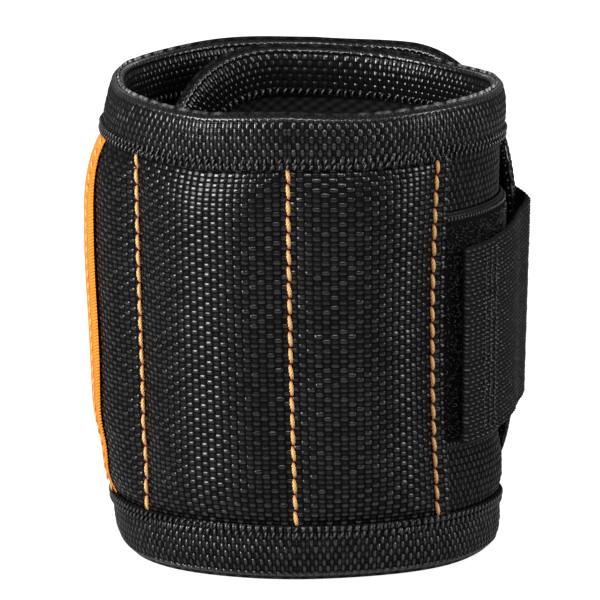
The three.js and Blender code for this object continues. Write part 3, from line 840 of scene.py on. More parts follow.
def swell(station, height):
    """How far the quilted sheet stands out at a place on the strip."""
    columns, column_weights = neighbours(station, QUILT_COLUMNS)
    rows, row_weights = neighbours(height, QUILT_ROWS)
    total = 0
    for column, column_weight in zip(columns, column_weights):
        for row, row_weight in zip(rows, row_weights):
            total = total + column_weight * row_weight * SWELL[column, row]
    return total


first_channel = (RIGHT_SEAM + MIDDLE_SEAM) / 2
print(f"swell in the middle of the right channel: {swell(first_channel, BAND_HEIGHT / 2) / MM:.2f} mm")

# %% [markdown]
# ## The tool panel
# The panel is the thick glossy nylon that faces the user. It lies on the base cloth, and at both ends its
# hem is turned under and stands proud. Every yarn is real relief on top of the quilted swell.

# %% Panel lengths
NYLON_WARP = 1.43 * MM
NYLON_WEFT = 0.94 * MM
# painted shade: with their lower relief the finish also colours these yarns darker
NYLON_WARP_TOP = 0.58  # the upright yarns stand lower and look darker
NYLON_DEPTH = 0.34 * MM
NYLON_STEPS = NYLON_WARP / 6, NYLON_WEFT / 4
HEM_RISE = 0.85 * MM
HEM_STEP = 1.1 * MM
YARN_LEVEL = 0.6  # relief at which a yarn neither adds nor takes height


def hem_rise(station):
    right = 1 - ease(station, RIGHT_SEAM - HEM_STEP, RIGHT_SEAM)
    end = ease(station, END_SEAM, END_SEAM + HEM_STEP)
    return HEM_RISE * (right + end)


def panel_layer(station, height, depth):
    relief = plain_weave(station, height, NYLON_WARP, NYLON_WEFT, warp_top=NYLON_WARP_TOP)
    lift = COVER_FACE + hem_rise(station) + swell(station, height)
    yarn = NYLON_DEPTH * (relief - YARN_LEVEL) if depth == 0 else 0
    return station, lift + yarn - depth, height, relief


PANELS = []
for length in LENGTHS:
    start, stop = max(length.start, PANEL_START), min(length.stop, PANEL_END)
    if start < stop:
        along = yarn_steps(start, stop, NYLON_STEPS[0])
        up = yarn_steps(PAD_LOW - TUCK, PAD_HIGH + TUCK, NYLON_STEPS[1])
        panel = cloth_piece(f"panel_{length.name}", panel_layer, along, up, CLOTH)
        dress(panel, NYLON)
        stand_for(length, "panel")
        bend(panel, length)
        PANELS.append(panel)
print("panels:", {panel.name: len(panel.data.polygons) for panel in PANELS})

# %% [markdown]
# ## Base cloth and lining
# Where the panel ends, the thinner base cloth shows: on the right side under the closure, on the inner
# tongue and on the outer end. The lining faces the wrist all the way round. Both narrow round the two
# rounded ends.

# %% Layers of the cover and the lining
OXFORD_WARP = 0.76 * MM
OXFORD_WEFT = 1.3 * MM
# painted shade: the weft floats stand lower, and with their lower relief the finish colours them darker
OXFORD_WEFT_TOP = 0.55
OXFORD_DEPTH = 0.26 * MM
LINING_CROWN = 0.5  # the lining swells half as far as the panel
UNDER_HEM = 1.3 * MM
LINING_STEP = 0.7 * MM
LINING_INSET = TAPE_INSIDE + LAYER_GAP - TUCK
SMOOTH = 0.6  # relief of a face without yarns


def lower_edge(station, inset):
    """Height of the cloth's lower edge, which follows the rounded ends inside the rim."""
    past = np.maximum(station - (OUTER_END - CORNER), (TONGUE_END + CORNER) - station)
    radius = CORNER - inset
    return CORNER - np.sqrt(radius ** 2 - np.clip(past, 0, radius) ** 2)


def between_edges(station, share, inset):
    """Height of a place between the two edges, for a share that runs from 0 to the band's height."""
    low = lower_edge(station, inset)
    return low + (BAND_HEIGHT - 2 * low) * share / BAND_HEIGHT


def cover_layer(station, share, depth):
    height = between_edges(station, share, PAD_LOW - TUCK)
    relief = plain_weave(station, height, OXFORD_WARP, OXFORD_WEFT, weft_top=OXFORD_WEFT_TOP)
    yarn = OXFORD_DEPTH * (relief - YARN_LEVEL) if depth == 0 else 0
    return station, COVER_FACE + yarn - depth, height, relief


def lining_layer(station, share, depth):
    height = between_edges(station, share, LINING_INSET)
    padded = (station > SEAMS[0]) & (station < SEAMS[-1]) & (height > PAD_LOW) & (height < PAD_HIGH)
    drop = np.where(padded, LINING_CROWN * swell(station, height), 0)
    return station, LINING_FACE - drop + depth, height, SMOOTH + 0 * station


print(f"the lining begins {LINING_INSET / MM:.1f} mm inside the rim")

# %% Cover and lining lengths
COVER_RUNS = [
    (TONGUE_END + PAD_LOW - TUCK, PANEL_START + UNDER_HEM),
    (PANEL_END - UNDER_HEM, OUTER_END - PAD_LOW + TUCK),
]
for length in LENGTHS:
    for run_start, run_stop in COVER_RUNS:
        start, stop = max(length.start, run_start), min(length.stop, run_stop)
        if start < stop:
            fineness = 4 if length.name == "front_right" else 3  # the photo shows the cover of this length
            along = yarn_steps(start, stop, OXFORD_WARP / fineness)
            up = yarn_steps(0, BAND_HEIGHT, OXFORD_WEFT / fineness)
            cover = cloth_piece(f"cover_{length.name}", cover_layer, along, up, CLOTH)
            dress(cover, OXFORD)
            stand_for(length, "cover")
            bend(cover, length)
    start, stop = max(length.start, TONGUE_END + LINING_INSET), min(length.stop, OUTER_END - LINING_INSET)
    along = steps(start, stop, LINING_STEP)
    up = steps(0, BAND_HEIGHT, LINING_STEP)
    lining = cloth_piece(f"lining_{length.name}", lining_layer, along, up, LINING, inside_out=True)
    dress(lining, LINING_MESH)
    stand_for(length, "lining")
    bend(lining, length)

# %% [markdown]
# ## Foam and magnets
# Nobody sees the foam and the magnets, but they shape the band, and they have to stay inside the soft
# cloth. The foam fills each channel between panel and lining. A box would poke through the puckers, so
# the foam is drawn from the same swell as the panel, and stays a little below it.

# %% Foam lengths
FOAM_GAP = 0.08 * MM
FOAM_SHARE = 0.97
FOAM_STEP = 1.5 * MM
FOAM_NODES = {
    "front_right": ["front_right_foam"],
    "front_left": ["front_left_foam", "left_flank_foam"],
    "left_side": ["left_flank_foam", "back_inner_foam"],
    "back": ["back_inner_foam", "back_outer_foam"],
    "outer_end": ["back_outer_foam"],
}


def foam_layer(station, height, depth):
    filled = FOAM_SHARE * np.maximum(swell(station, height), 0)
    top = COVER_FACE - CLOTH - FOAM_GAP + filled
    bottom = LINING_FACE + LINING + FOAM_GAP - LINING_CROWN * filled
    return station, top if depth == 0 else bottom, height, SMOOTH + 0 * station


for length in LENGTHS:
    start, stop = max(length.start, SEAMS[0] + MM), min(length.stop, SEAMS[-1] - MM)
    if start < stop:
        along, up = steps(start, stop, FOAM_STEP), steps(PAD_LOW + MM, PAD_HIGH - MM, FOAM_STEP)
        foam = dress(cloth_piece(f"foam_{length.name}", foam_layer, along, up, CLOTH, 1), FOAM)
        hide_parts(*FOAM_NODES[length.name])
        bend(foam, length)

# %% [markdown]
# The magnets are plated discs, three in each channel. They could be drawn again as cylinders, but their
# solids are right already. So each disc takes its solid's mesh, and moves by as much as the soft cloth
# about it has moved.

# %% Magnets
RIGHT_ROOM = 1.0  # the angle right of the front, in radians, that still counts backwards


def carried(points):
    """How far the cloth has moved at the middle of some points of the true wrap."""
    x, y, height = np.mean(points, axis=0) - WRAP_MIDDLE
    turned = math.atan2(-x, -y)
    angle = (turned + RIGHT_ROOM) % FULL_TURN - RIGHT_ROOM - SEAM_TURN
    lift = math.hypot(x, y) - wrap_radius(angle) - FLARE * (2 * height / BAND_HEIGHT - 1)
    return place(station_at(angle), lift, height) - on_wrap(angle, lift, height) - WRAP_MIDDLE


for node_name in sorted(name for name in frame["nodes"] if "_magnet_" in name):
    node = frame["nodes"][node_name]
    solid = np.array([node.matrix_world @ corner.co for corner in node.data.vertices])
    faces = [list(face.vertices) for face in node.data.polygons]
    magnet = dress(finish_mesh(f"disc_{node_name}", solid + carried(solid), faces), NICKEL)
    magnet.data.shade_flat()
    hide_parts(node_name)
    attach(magnet, next(body for body in BODY_ORDER if node_name.startswith(body)))

# %% [markdown]
# ## Edge tape
# A woven tape is folded over the raw edges all round the band and sewn down. A Curve with a bevel profile
# could sweep it, but its yarns have to follow both the rim and the section. So it is one section, with
# two flat legs and a rounded fold, swept along the rim by a function, and it turns the corners of the two
# ends. Its yarns stand across the tape and show as upright floats, and a thicker twisted yarn runs along
# both sides of the fold.

# %% The rim as a path
def straight_run(end):
    """Length of the straight rim, from the middle seam to the rounded corner of one end."""
    return (OUTER_END if end > 0 else -TONGUE_END) - CORNER


def rim_path(distance, end):
    """Station, height and inward direction along the rim, from its top middle round one end."""
    straight = straight_run(end)
    arc, upright = CORNER * math.pi / 2, BAND_HEIGHT - 2 * CORNER
    first = np.clip((distance - straight) / CORNER, 0, math.pi / 2)
    down = np.clip(distance - straight - arc, 0, upright)
    second = np.clip((distance - straight - arc - upright) / CORNER, 0, math.pi / 2)
    back = np.maximum(distance - straight - 2 * arc - upright, 0)
    station = np.minimum(distance, straight) + CORNER * (np.sin(first) - 1 + np.cos(second)) - back
    height = BAND_HEIGHT - CORNER * (1 - np.cos(first) + np.sin(second)) - down
    turned = first + second
    return end * station, height, -end * np.sin(turned), -np.cos(turned)


def rim_length(end):
    return 2 * straight_run(end) + CORNER * math.pi + BAND_HEIGHT - 2 * CORNER


print(f"rim: {(rim_length(1) + rim_length(-1)) / MM:.0f} mm round")

# %% The tape's section
FOLD_HALF = 1.2 * MM
FOLD_MIDDLE = (TAPE_FACE + TAPE_INNER_FACE) / 2
FOLD_CENTRE = 1.15  # in halves of its thickness inside the rim
FOLD_POINTS = 17
TAPE_SINK = 0.1 * MM  # a sewn row draws the tape in
TAPE_CROWN = 0.15 * MM  # and the outer leg stands out beside it
STITCH_INSET = 1.3 * MM
BESIDE_ROW = 2.4 * MM
BESIDE_FOLD = 2.6 * MM
EDGE_DROP = 0.45 * MM
EDGE_ROUND = 0.4 * MM, 0.2 * MM


def tape_section():
    """Depth from the rim and lift, point by point across the tape, with the length run so far."""
    turn = np.linspace(0, math.pi, FOLD_POINTS)
    outer = [
        (TAPE_OUTSIDE, TAPE_FACE - EDGE_DROP),
        (TAPE_OUTSIDE - EDGE_ROUND[0], TAPE_FACE - EDGE_ROUND[1]),
        (TAPE_OUTSIDE - STITCH_INSET, TAPE_FACE - TAPE_SINK),
        (TAPE_OUTSIDE - BESIDE_ROW, TAPE_FACE),
        (TAPE_OUTSIDE / 2, TAPE_FACE + TAPE_CROWN),
        (BESIDE_FOLD, TAPE_FACE - TAPE_SINK),
    ]
    inner = [
        (BESIDE_FOLD, TAPE_INNER_FACE + TAPE_SINK),
        (TAPE_INSIDE / 2, TAPE_INNER_FACE - TAPE_SINK),
        (TAPE_INSIDE - BESIDE_ROW, TAPE_INNER_FACE),
        (TAPE_INSIDE - STITCH_INSET, TAPE_INNER_FACE + TAPE_SINK),
        (TAPE_INSIDE, TAPE_INNER_FACE + EDGE_DROP),
    ]
    fold_inset = FOLD_HALF * (FOLD_CENTRE - np.sin(turn))
    fold = np.stack([fold_inset, FOLD_MIDDLE + FOLD_HALF * np.cos(turn)], -1)
    section = np.concatenate([outer, fold, inner])
    run = np.append(0, np.cumsum(np.linalg.norm(np.diff(section, axis=0), axis=1)))
    return run, section


TAPE_RUN, TAPE_SECTION = tape_section()
TAPE_WIDTH = TAPE_RUN[-1]
FOLD_RUN = TAPE_RUN[np.argmin(TAPE_SECTION[:, 0])]  # a row of yarns sits on the fold


def on_section(across):
    return np.interp(across, TAPE_RUN, TAPE_SECTION[:, 0]), np.interp(across, TAPE_RUN, TAPE_SECTION[:, 1])


print(f"tape: {TAPE_WIDTH / MM:.1f} mm wide")

# %% The tape's weave and its edge yarn
TAPE_WARP = 0.76 * MM
TAPE_WEFT = 1.3 * MM
# painted shade: the weft floats stand lower, and with their lower relief the finish colours them darker
TAPE_WEFT_TOP = 0.5
TAPE_DEPTH = 0.34 * MM
TAPE_STEPS = TAPE_WARP / 4, TAPE_WEFT / 4
CORD_PLACE = 1.2 * MM  # a twisted edge yarn runs along both sides of the fold
CORD_REACH = 0.75 * MM
CORD_PITCH = 1.5 * MM
CORD_SLANT = 1.2 * MM
CORD_LEVEL = 0.75  # its mean relief
SECTION_STEP = 0.2 * MM


def tape_layer(end):
    """The layer function of the tape round one end of the band."""

    def layer(distance, across, depth):
        rows = across - FOLD_RUN + TAPE_WEFT / 2
        weave = plain_weave(distance, rows, TAPE_WARP, TAPE_WEFT, weft_top=TAPE_WEFT_TOP)
        from_fold = np.abs(across - FOLD_RUN)
        twist = np.cos(FULL_TURN * (distance / CORD_PITCH + from_fold / CORD_SLANT))
        cord = CORD_LEVEL + (1 - CORD_LEVEL) * twist
        relief = weave + np.maximum(cord - weave, 0) * hump(from_fold, CORD_PLACE, CORD_REACH)
        inset, lift = on_section(across)
        inset_ahead, lift_ahead = on_section(across + SECTION_STEP)
        inset_behind, lift_behind = on_section(across - SECTION_STEP)
        toward_inset, toward_lift = inset_behind - inset_ahead, lift_behind - lift_ahead
        scale = np.maximum(np.hypot(toward_inset, toward_lift), NOT_ZERO)
        out = (TAPE_DEPTH * (relief - YARN_LEVEL) if depth == 0 else 0) - depth
        inset = inset + out * toward_lift / scale
        lift = lift + out * toward_inset / scale
        station, height, inward_station, inward_height = rim_path(distance, end)
        return station + inset * inward_station, lift, height + inset * inward_height, relief

    return layer


print("tape yarns round the rim:", round((rim_length(1) + rim_length(-1)) / TAPE_WARP))

# %% [markdown]
# The tape is cut where the cloth is cut, into the same lengths. On most lengths it has an upper and a
# lower run. At each rounded end one run goes all the way round.

# %% Tape lengths
def rim_runs(length):
    """Name, end and start and stop distances of the tape on a length of band."""
    end = 1 if length.start >= 0 else -1
    near, far = sorted((abs(length.start), abs(length.stop)))
    whole = rim_length(end)
    if length.stop == OUTER_END or length.start == TONGUE_END:
        return [(f"tape_{length.name}", end, near, whole - near)]
    upper = (f"tape_{length.name}_top", end, near, far)
    lower = (f"tape_{length.name}_bottom", end, whole - far, whole - near)
    return [upper, lower]


RUN_NODES = {"top": ["binding_top"], "bottom": ["binding_bottom"]}
END_NODES = ["binding", "binding_top", "binding_bottom"]
for length in LENGTHS:
    for name, end, start, stop in rim_runs(length):
        along, across = yarn_steps(start, stop, TAPE_STEPS[0]), yarn_steps(0, TAPE_WIDTH, TAPE_STEPS[1])
        tape = cloth_piece(name, tape_layer(end), along, across, TAPE, inside_out=end < 0)
        dress(tape, TAPE_FINISH)
        for layer_name in RUN_NODES.get(name.split("_")[-1], END_NODES):
            stand_for(length, layer_name)
        bend(tape, length)

# %% [markdown]
# ## Stitches
# Each stitch is a short length of twisted thread that comes out of the cloth and dives in again. A
# capsule would look like a pill, so the plies are lobes round the section, turned along the stitch, and
# both ends bend down.

# %% A stitch
PLY_LOBE = 0.3  # how far the plies stand out
ARCH_POWER = 0.45  # a small power gives a flat top and steep ends
THIN_TIP = 0.4  # share of the thickness that is left at both ends
SUNK = 0.3  # share of the thickness that lies in the cloth


def stitch_mesh(name, length, thickness, rings, sides, plies, twist):
    """A stitch along x with its top towards z. Its relief is highest on the plies and falls to both ends;
    finishes paint shade from it.
    """
    share = np.linspace(0, 1, rings)
    around = np.linspace(0, FULL_TURN, sides, endpoint=False)
    arch = np.sin(math.pi * np.clip(share, 0.01, 0.99)) ** ARCH_POWER
    points, relief = [], []
    for t, high in zip(share, arch):
        lobes = 1 + PLY_LOBE * np.cos(plies * (around - math.pi / 2 - twist * t))
        radius = thickness / 2 * lobes * (THIN_TIP + (1 - THIN_TIP) * high)
        x = np.full(sides, (t - 0.5) * length)
        y = radius * np.cos(around)
        z = radius * np.sin(around) + thickness * (0.5 * high - SUNK)
        points.append(np.stack([x, y, z], -1))
        relief.append((lobes - (1 - PLY_LOBE)) / (2 * PLY_LOBE) * high)
    faces = grid_faces(rings, sides, 0).tolist()
    for ring in range(rings - 1):
        here = ring * sides
        faces.append([here + sides - 1, here, here + sides, here + 2 * sides - 1])
    first_ring, last_ring = list(range(sides)), list(range((rings - 1) * sides, rings * sides))
    faces = [face[::-1] for face in faces] + [first_ring[::-1], last_ring]
    return finish_mesh(name, np.concatenate(points), faces, relief=np.concatenate(relief))


ORANGE_THICKNESS = 0.72 * MM
ORANGE_STITCH = stitch_mesh("orange_stitch", 2.9 * MM, ORANGE_THICKNESS, rings=14, sides=9, plies=3, twist=9)
print("orange stitch:", len(ORANGE_STITCH.data.polygons), "faces")

# %% [markdown]
# Sewn rows repeat along a path. An Array modifier on a curve could do that, but it stretches its copies
# and can't turn them a little. A Geometry Nodes tree turns a line of points into a curve, cuts it into
# even steps, and sets a stitch on each step: its length lies along the row and its top faces away from
# the cloth, by a direction that each point of the line carries. Lean and wander are inputs with a fixed
# seed, so the same tree sews every row of the band.

# %% Beginning and end of a tree that sets copies
def copying_tree(name, inputs):
    """A Geometry Nodes tree with named inputs, and the values of those inputs."""
    nodes = bpy.data.node_groups.new(name, "GeometryNodeTree")
    for title, kind in inputs.items():
        nodes.interface.new_socket(title, in_out="INPUT", socket_type=f"NodeSocket{kind}")
    nodes.interface.new_socket("Copies", in_out="OUTPUT", socket_type="NodeSocketGeometry")
    tree = Tree(nodes)
    return tree, tree.node("NodeGroupInput")


def random_value(tree, low, high, seed):
    sockets = {"Min": low, "Max": high, "Seed": seed}
    return tree.node("FunctionNodeRandomValue", {"data_type": "FLOAT"}, sockets)["Value"]


def turn_and_finish(tree, copies, angle, material):
    """Turns each copy about its own upright, makes the copies real, and gives them their material."""
    turn = tree.node("ShaderNodeCombineXYZ", None, {"Z": angle})["Vector"]
    turning = {"Instances": copies, "Rotation": turn}
    turned = tree.node("GeometryNodeRotateInstances", None, turning)["Instances"]
    solid = tree.node("GeometryNodeRealizeInstances", None, {"Geometry": turned})["Geometry"]
    done = tree.node("GeometryNodeSetMaterial", None, {"Geometry": solid, "Material": material})["Geometry"]
    tree.node("NodeGroupOutput", None, {"Copies": done})
    return tree.nodes


def run_tree(carrier, nodes, inputs):
    """Runs a tree on an object and turns the result into a plain mesh object of the same name."""
    modifier = carrier.modifiers.new("nodes", "NODES")
    modifier.node_group = nodes
    for item in nodes.interface.items_tree:
        if item.in_out == "INPUT" and item.name in inputs:
            modifier[item.identifier] = inputs[item.name]
    evaluated = carrier.evaluated_get(bpy.context.evaluated_depsgraph_get())
    mesh = bpy.data.meshes.new_from_object(evaluated)
    name = carrier.name
    bpy.data.objects.remove(carrier)
    return linked(name, mesh)


print("node groups so far:", len(bpy.data.node_groups))

# %% The tree that sews a row
ROW_INPUTS = {"Row": "Geometry", "Stitch": "Object", "Pitch": "Float", "Thread": "Material"}
ROW_INPUTS |= {"Lean": "Float", "Wander": "Float"}
STITCH_SEED = 7


def stitch_tree():
    tree, given = copying_tree("sewn row", ROW_INPUTS)
    line = tree.node("GeometryNodeMeshToCurve", None, {"Mesh": given["Row"]})["Curve"]
    stepping = {"Curve": line, "Length": given["Pitch"]}
    even = tree.node("GeometryNodeResampleCurve", {"mode": "LENGTH"}, stepping)["Curve"]
    vector = {"data_type": "FLOAT_VECTOR"}
    outward = tree.node("GeometryNodeInputNamedAttribute", vector, {"Name": "outward"})["Attribute"]
    along = tree.node("GeometryNodeInputTangent")["Tangent"]
    up = tree.node("FunctionNodeAlignRotationToVector", {"axis": "Z"}, {"Vector": outward})["Rotation"]
    lying = {"axis": "X", "pivot_axis": "Z"}
    facing = {"Rotation": up, "Vector": along}
    laid = tree.node("FunctionNodeAlignRotationToVector", lying, facing)["Rotation"]
    shape = tree.node("GeometryNodeObjectInfo", None, {"Object": given["Stitch"]})["Geometry"]
    copying = {"Points": even, "Instance": shape, "Rotation": laid}
    stitches = tree.node("GeometryNodeInstanceOnPoints", None, copying)["Instances"]
    angle = given["Lean"] + random_value(tree, -1.0, 1.0, STITCH_SEED) * given["Wander"]
    return turn_and_finish(tree, stitches, angle, given["Thread"])


SEWN_ROW = stitch_tree()


def sewn_row(name, lines, stitch, thread, pitch, lean, wander):
    """Stitches along lines of (points, outward directions)."""
    points = np.concatenate([line for line, _ in lines])
    outward = np.concatenate([directions for _, directions in lines])
    edges, first = [], 0
    for line, _ in lines:
        edges += [(first + k, first + k + 1) for k in range(len(line) - 1)]
        first += len(line)
    mesh = bpy.data.meshes.new(name)
    mesh.from_pydata(points.tolist(), edges, [])
    mesh.attributes.new("outward", "FLOAT_VECTOR", "POINT").data.foreach_set("vector", outward.ravel())
    inputs = {"Stitch": stitch, "Thread": thread, "Pitch": pitch, "Lean": lean, "Wander": wander}
    return run_tree(linked(name, mesh), SEWN_ROW, inputs)


print("sewn row tree:", len(SEWN_ROW.nodes), "nodes")

# %% [markdown]
# The rows on the panel are sewn with thick gold-orange thread, which is what one sees first. They draw
# the panel in between its channels. The rows along the tape are black and slanted: two beside the edge of
# its outer leg, and one on its inner leg. Every row is made for the length of band that it holds.

# %% Orange rows and black rows
ORANGE_PITCH = 3.1 * MM
ORANGE_LEAN = 0.11
ORANGE_WANDER = 0.04
ORANGE_ABOVE = 0.1 * MM
ORANGE_INSETS = 1.1 * MM, 0.8 * MM  # from the lower and the upper tape
SLANT_PITCH = 1.45 * MM
SLANT_THICKNESS = 0.55 * MM
SLANT_LEAN = 1.25
SLANT_WANDER = 0.3
SLANT_ABOVE = 0.15 * MM
SLANT_ROWS = 0.6 * MM, 1.75 * MM, TAPE_WIDTH - 0.9 * MM
LINE_STEP = 1 * MM
SLANT_STITCH = stitch_mesh("slant_stitch", 1.25 * MM, SLANT_THICKNESS, rings=5, sides=5, plies=2, twist=0)


def outward_line(layer, us, vs, above):
    """Points on a layer along us and vs, lifted a little, and the directions away from it."""
    face = place(*layer(us, vs, -NORMAL_STEP)[:3])
    raised = place(*layer(us, vs, -above - NORMAL_STEP)[:3])
    direction = raised - face
    return raised, direction / np.linalg.norm(direction, axis=-1, keepdims=True)


def length_at(station):
    """The length of band that holds a place on the strip."""
    return next(length for length in LENGTHS if length.start <= station < length.stop)


for number, seam in enumerate(SEAMS, 1):
    up = steps(PAD_LOW + ORANGE_INSETS[0], PAD_HIGH - ORANGE_INSETS[1], LINE_STEP)
    line = outward_line(panel_layer, np.full_like(up, seam), up, ORANGE_ABOVE)
    sewing = ORANGE_STITCH, ORANGE_THREAD, ORANGE_PITCH, ORANGE_LEAN, ORANGE_WANDER
    row = sewn_row(f"orange_row_{number}", [line], *sewing)
    bend(row, length_at(seam))

for length in LENGTHS:
    lines = []
    for _, end, start, stop in rim_runs(length):
        along = steps(start, stop, LINE_STEP)
        for across in SLANT_ROWS:
            lines.append(outward_line(tape_layer(end), along, np.full_like(along, across), SLANT_ABOVE))
    sewing = SLANT_STITCH, BLACK_THREAD, SLANT_PITCH, SLANT_LEAN, SLANT_WANDER
    row = sewn_row(f"black_row_{length.name}", lines, *sewing)
    bend(row, length)

# %% [markdown]
# ## The orange strip
# A strip of orange twill is sewn over the left side, and both its ends meet the tape. A flat card would
# cut into the swollen channel, so the strip is laid on the panel's own swell. It stands proud by its
# thickness, and its front edge is the orange line in the photo. That edge is drawn back in a gentle
# curve, and the strip is pressed flat towards both ends, as the photo's outline shows.

# %% Strip over the left channel
STRIP_WIDTH = 34 * MM
STRIP_THICKNESS = 1.1 * MM
STRIP_STEP = 0.45 * MM
STRIP_CLEAR = 0.3 * MM
STRIP_STOP = BACK_SEAM - STRIP_CLEAR
STRIP_START = STRIP_STOP - STRIP_WIDTH
STRIP_SET_BACK = 1.8 * MM
STRIP_CURVE = 6.5 * MM  # its front edge is curved, and furthest forward
STRIP_CREST = 0.4  # at this share of the way down
STRIP_ROW_INSET = 1.8 * MM
STRIP_TOP_TAPER = 14 * MM  # it is pressed flat towards both ends
STRIP_LOW_TAPER = 30 * MM
STRIP_PITCH = 2.3 * MM
STRIP_WANDER = 0.05
STRIP_GAP = 0.12 * MM
STRIP_MARGIN = 0.1 * MM  # it runs on to the edge of the tape
STRIP_EDGE = 0.9 * MM  # along its sides it is rounded
STRIP_EDGE_DROP = 0.45  # by this share of its thickness
THIN_END = 0.3  # share of its thickness that is left at both ends
THREAD_ABOVE = 0.05 * MM
STRIP_STITCH = stitch_mesh("strip_stitch", 2.0 * MM, 0.4 * MM, rings=8, sides=6, plies=3, twist=6)


def strip_edge(height):
    """How far the strip's front edge has moved back at a height."""
    down = np.clip((PAD_HIGH - height) / (PAD_HIGH - PAD_LOW), 0, 1)
    return STRIP_SET_BACK + STRIP_CURVE * (down - STRIP_CREST) ** 2


def strip_layer(station, height, depth):
    """The strip; a negative depth lifts points off its face."""
    ends = ease(height, PAD_LOW, PAD_LOW + STRIP_LOW_TAPER)
    ends = ends * (1 - ease(height, PAD_HIGH - STRIP_TOP_TAPER, PAD_HIGH))
    edge = np.minimum(station - STRIP_START, STRIP_STOP - station)
    round_edge = 1 - STRIP_EDGE_DROP * (1 - ease(edge, 0, STRIP_EDGE)) ** 2
    thickness = STRIP_THICKNESS * (THIN_END + (1 - THIN_END) * ends) * round_edge
    station = station + strip_edge(height) * (STRIP_STOP - station) / STRIP_WIDTH
    base = COVER_FACE + STRIP_GAP + np.maximum(swell(station, height), 0)
    top = thickness if depth <= 0 else 0 * thickness
    return station, base + top + max(-depth, 0), height, SMOOTH + 0 * station


along = steps(STRIP_START, STRIP_STOP, STRIP_STEP)
up = steps(PAD_LOW - STRIP_MARGIN, PAD_HIGH + STRIP_MARGIN, STRIP_STEP)
strip = dress(cloth_piece("orange_strip", strip_layer, along, up, STRIP_THICKNESS), ACCENT)
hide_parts("accent_strip")
strip_length = next(length for length in LENGTHS if length.fold == "back_fold")
bend(strip, strip_length)
up = steps(PAD_LOW + MM, PAD_HIGH - MM, LINE_STEP)
edges = STRIP_START + STRIP_ROW_INSET, STRIP_STOP - STRIP_ROW_INSET
lines = [outward_line(strip_layer, np.full_like(up, edge), up, THREAD_ABOVE) for edge in edges]
row = sewn_row("strip_row", lines, STRIP_STITCH, ORANGE_THREAD, STRIP_PITCH, ORANGE_LEAN, STRIP_WANDER)
bend(row, strip_length)
print("strip:", [round(x / MM, 1) for x in (STRIP_START, STRIP_STOP)], "mm along the band")

# %% [markdown]
# ## The closure
# The strap is ribbed webbing. It is sewn on the outer end, comes down over its edge and lies on the right
# side, where the hooks on its underside grip the fuzzy loops of a patch. Its tip is turned under and
# sewn. A Curve modifier could bend a flat ribbon, but the strap has to step from one turn of the band to
# the next. So its height over the wrap is a function of how far round it has come, and its ribs are
# relief like the other weaves.

# %% The strap's path
END_ANGLE = angle_at(OUTER_END) - FULL_TURN  # the outer end, counted on the turn that the strap lies on
TIP_GAP = 1.5 * MM  # between the strap's tip and the panel's hem
TIP_ANGLE = angle_at(PANEL_START - TIP_GAP)
PATCH_ROOM = 1 * MM
HOOK_ROOM = 1.2 * MM
LOOP_FACE = COVER_FACE + LAYER_GAP + PATCH_ROOM
STRAP_ON_FLANK = LOOP_FACE + 2 * LAYER_GAP + HOOK_ROOM
STRAP_ON_END = TAPE_FACE + LAYER_GAP
STRAP_RISE = 15 * MM
STRAP_CLIMB = 3.4 * MM
STRAP_MIDDLE = 43.5 * MM
STRAP_ROOT = 14 * MM
STRAP_LENGTH = (TIP_ANGLE - END_ANGLE) * WRIST_RADIUS


def strap_climbed(angle):
    """From 0 on the right side to 1 on the outer end."""
    return ease(-angle, -END_ANGLE - STRAP_RISE / WRIST_RADIUS, -END_ANGLE)


def strap_lift(angle):
    on_end = wrap_radius(angle + FULL_TURN) - wrap_radius(angle) + STRAP_ON_END
    return STRAP_ON_FLANK + (on_end - STRAP_ON_FLANK) * strap_climbed(angle)


def strap_point(run, across):
    """Angle and height of a place on the strap: run back from its tip, and across from its middle line."""
    angle = TIP_ANGLE - run / WRIST_RADIUS
    climb = STRAP_CLIMB * (TIP_ANGLE - angle) / (TIP_ANGLE - END_ANGLE)
    return angle, STRAP_MIDDLE + across + climb


print(f"strap: {STRAP_LENGTH / MM:.1f} mm free, {STRAP_ROOT / MM:.0f} mm sewn down")

# %% The strap's weave
STRAP_WIDTH = 38 * MM
STRAP_CLOTH = 1 * MM
STRAP_TAPER = 0.8 * MM  # its lower edge lies closer
STRAP_EDGE = 0.7 * MM
STRAP_EDGE_DROP = 0.5 * MM
RIB = 0.85 * MM
RIB_DEPTH = 0.45 * MM
FLOAT = 1.45 * MM
FLOAT_LOW = 0.15  # relief of a rib between two floats
STRAP_UNEVEN = 0.45  # how much lower the lowest floats lie
STAGGER, STAGGER_TURN = 0.25, 3.1  # floats of neighbouring ribs are shifted unevenly
RIB_ROUND = 1.6
RIB_LEVEL = 0.5  # relief at which a rib neither adds nor takes height
BACK_RELIEF = 0.7
TURNED_TIP = 9.2 * MM
TIP_RISE = 0.45 * MM
STRAP_STEPS = FLOAT / 6, RIB / 6
STRAP_REACH = 5 * MM  # half the length of its bend


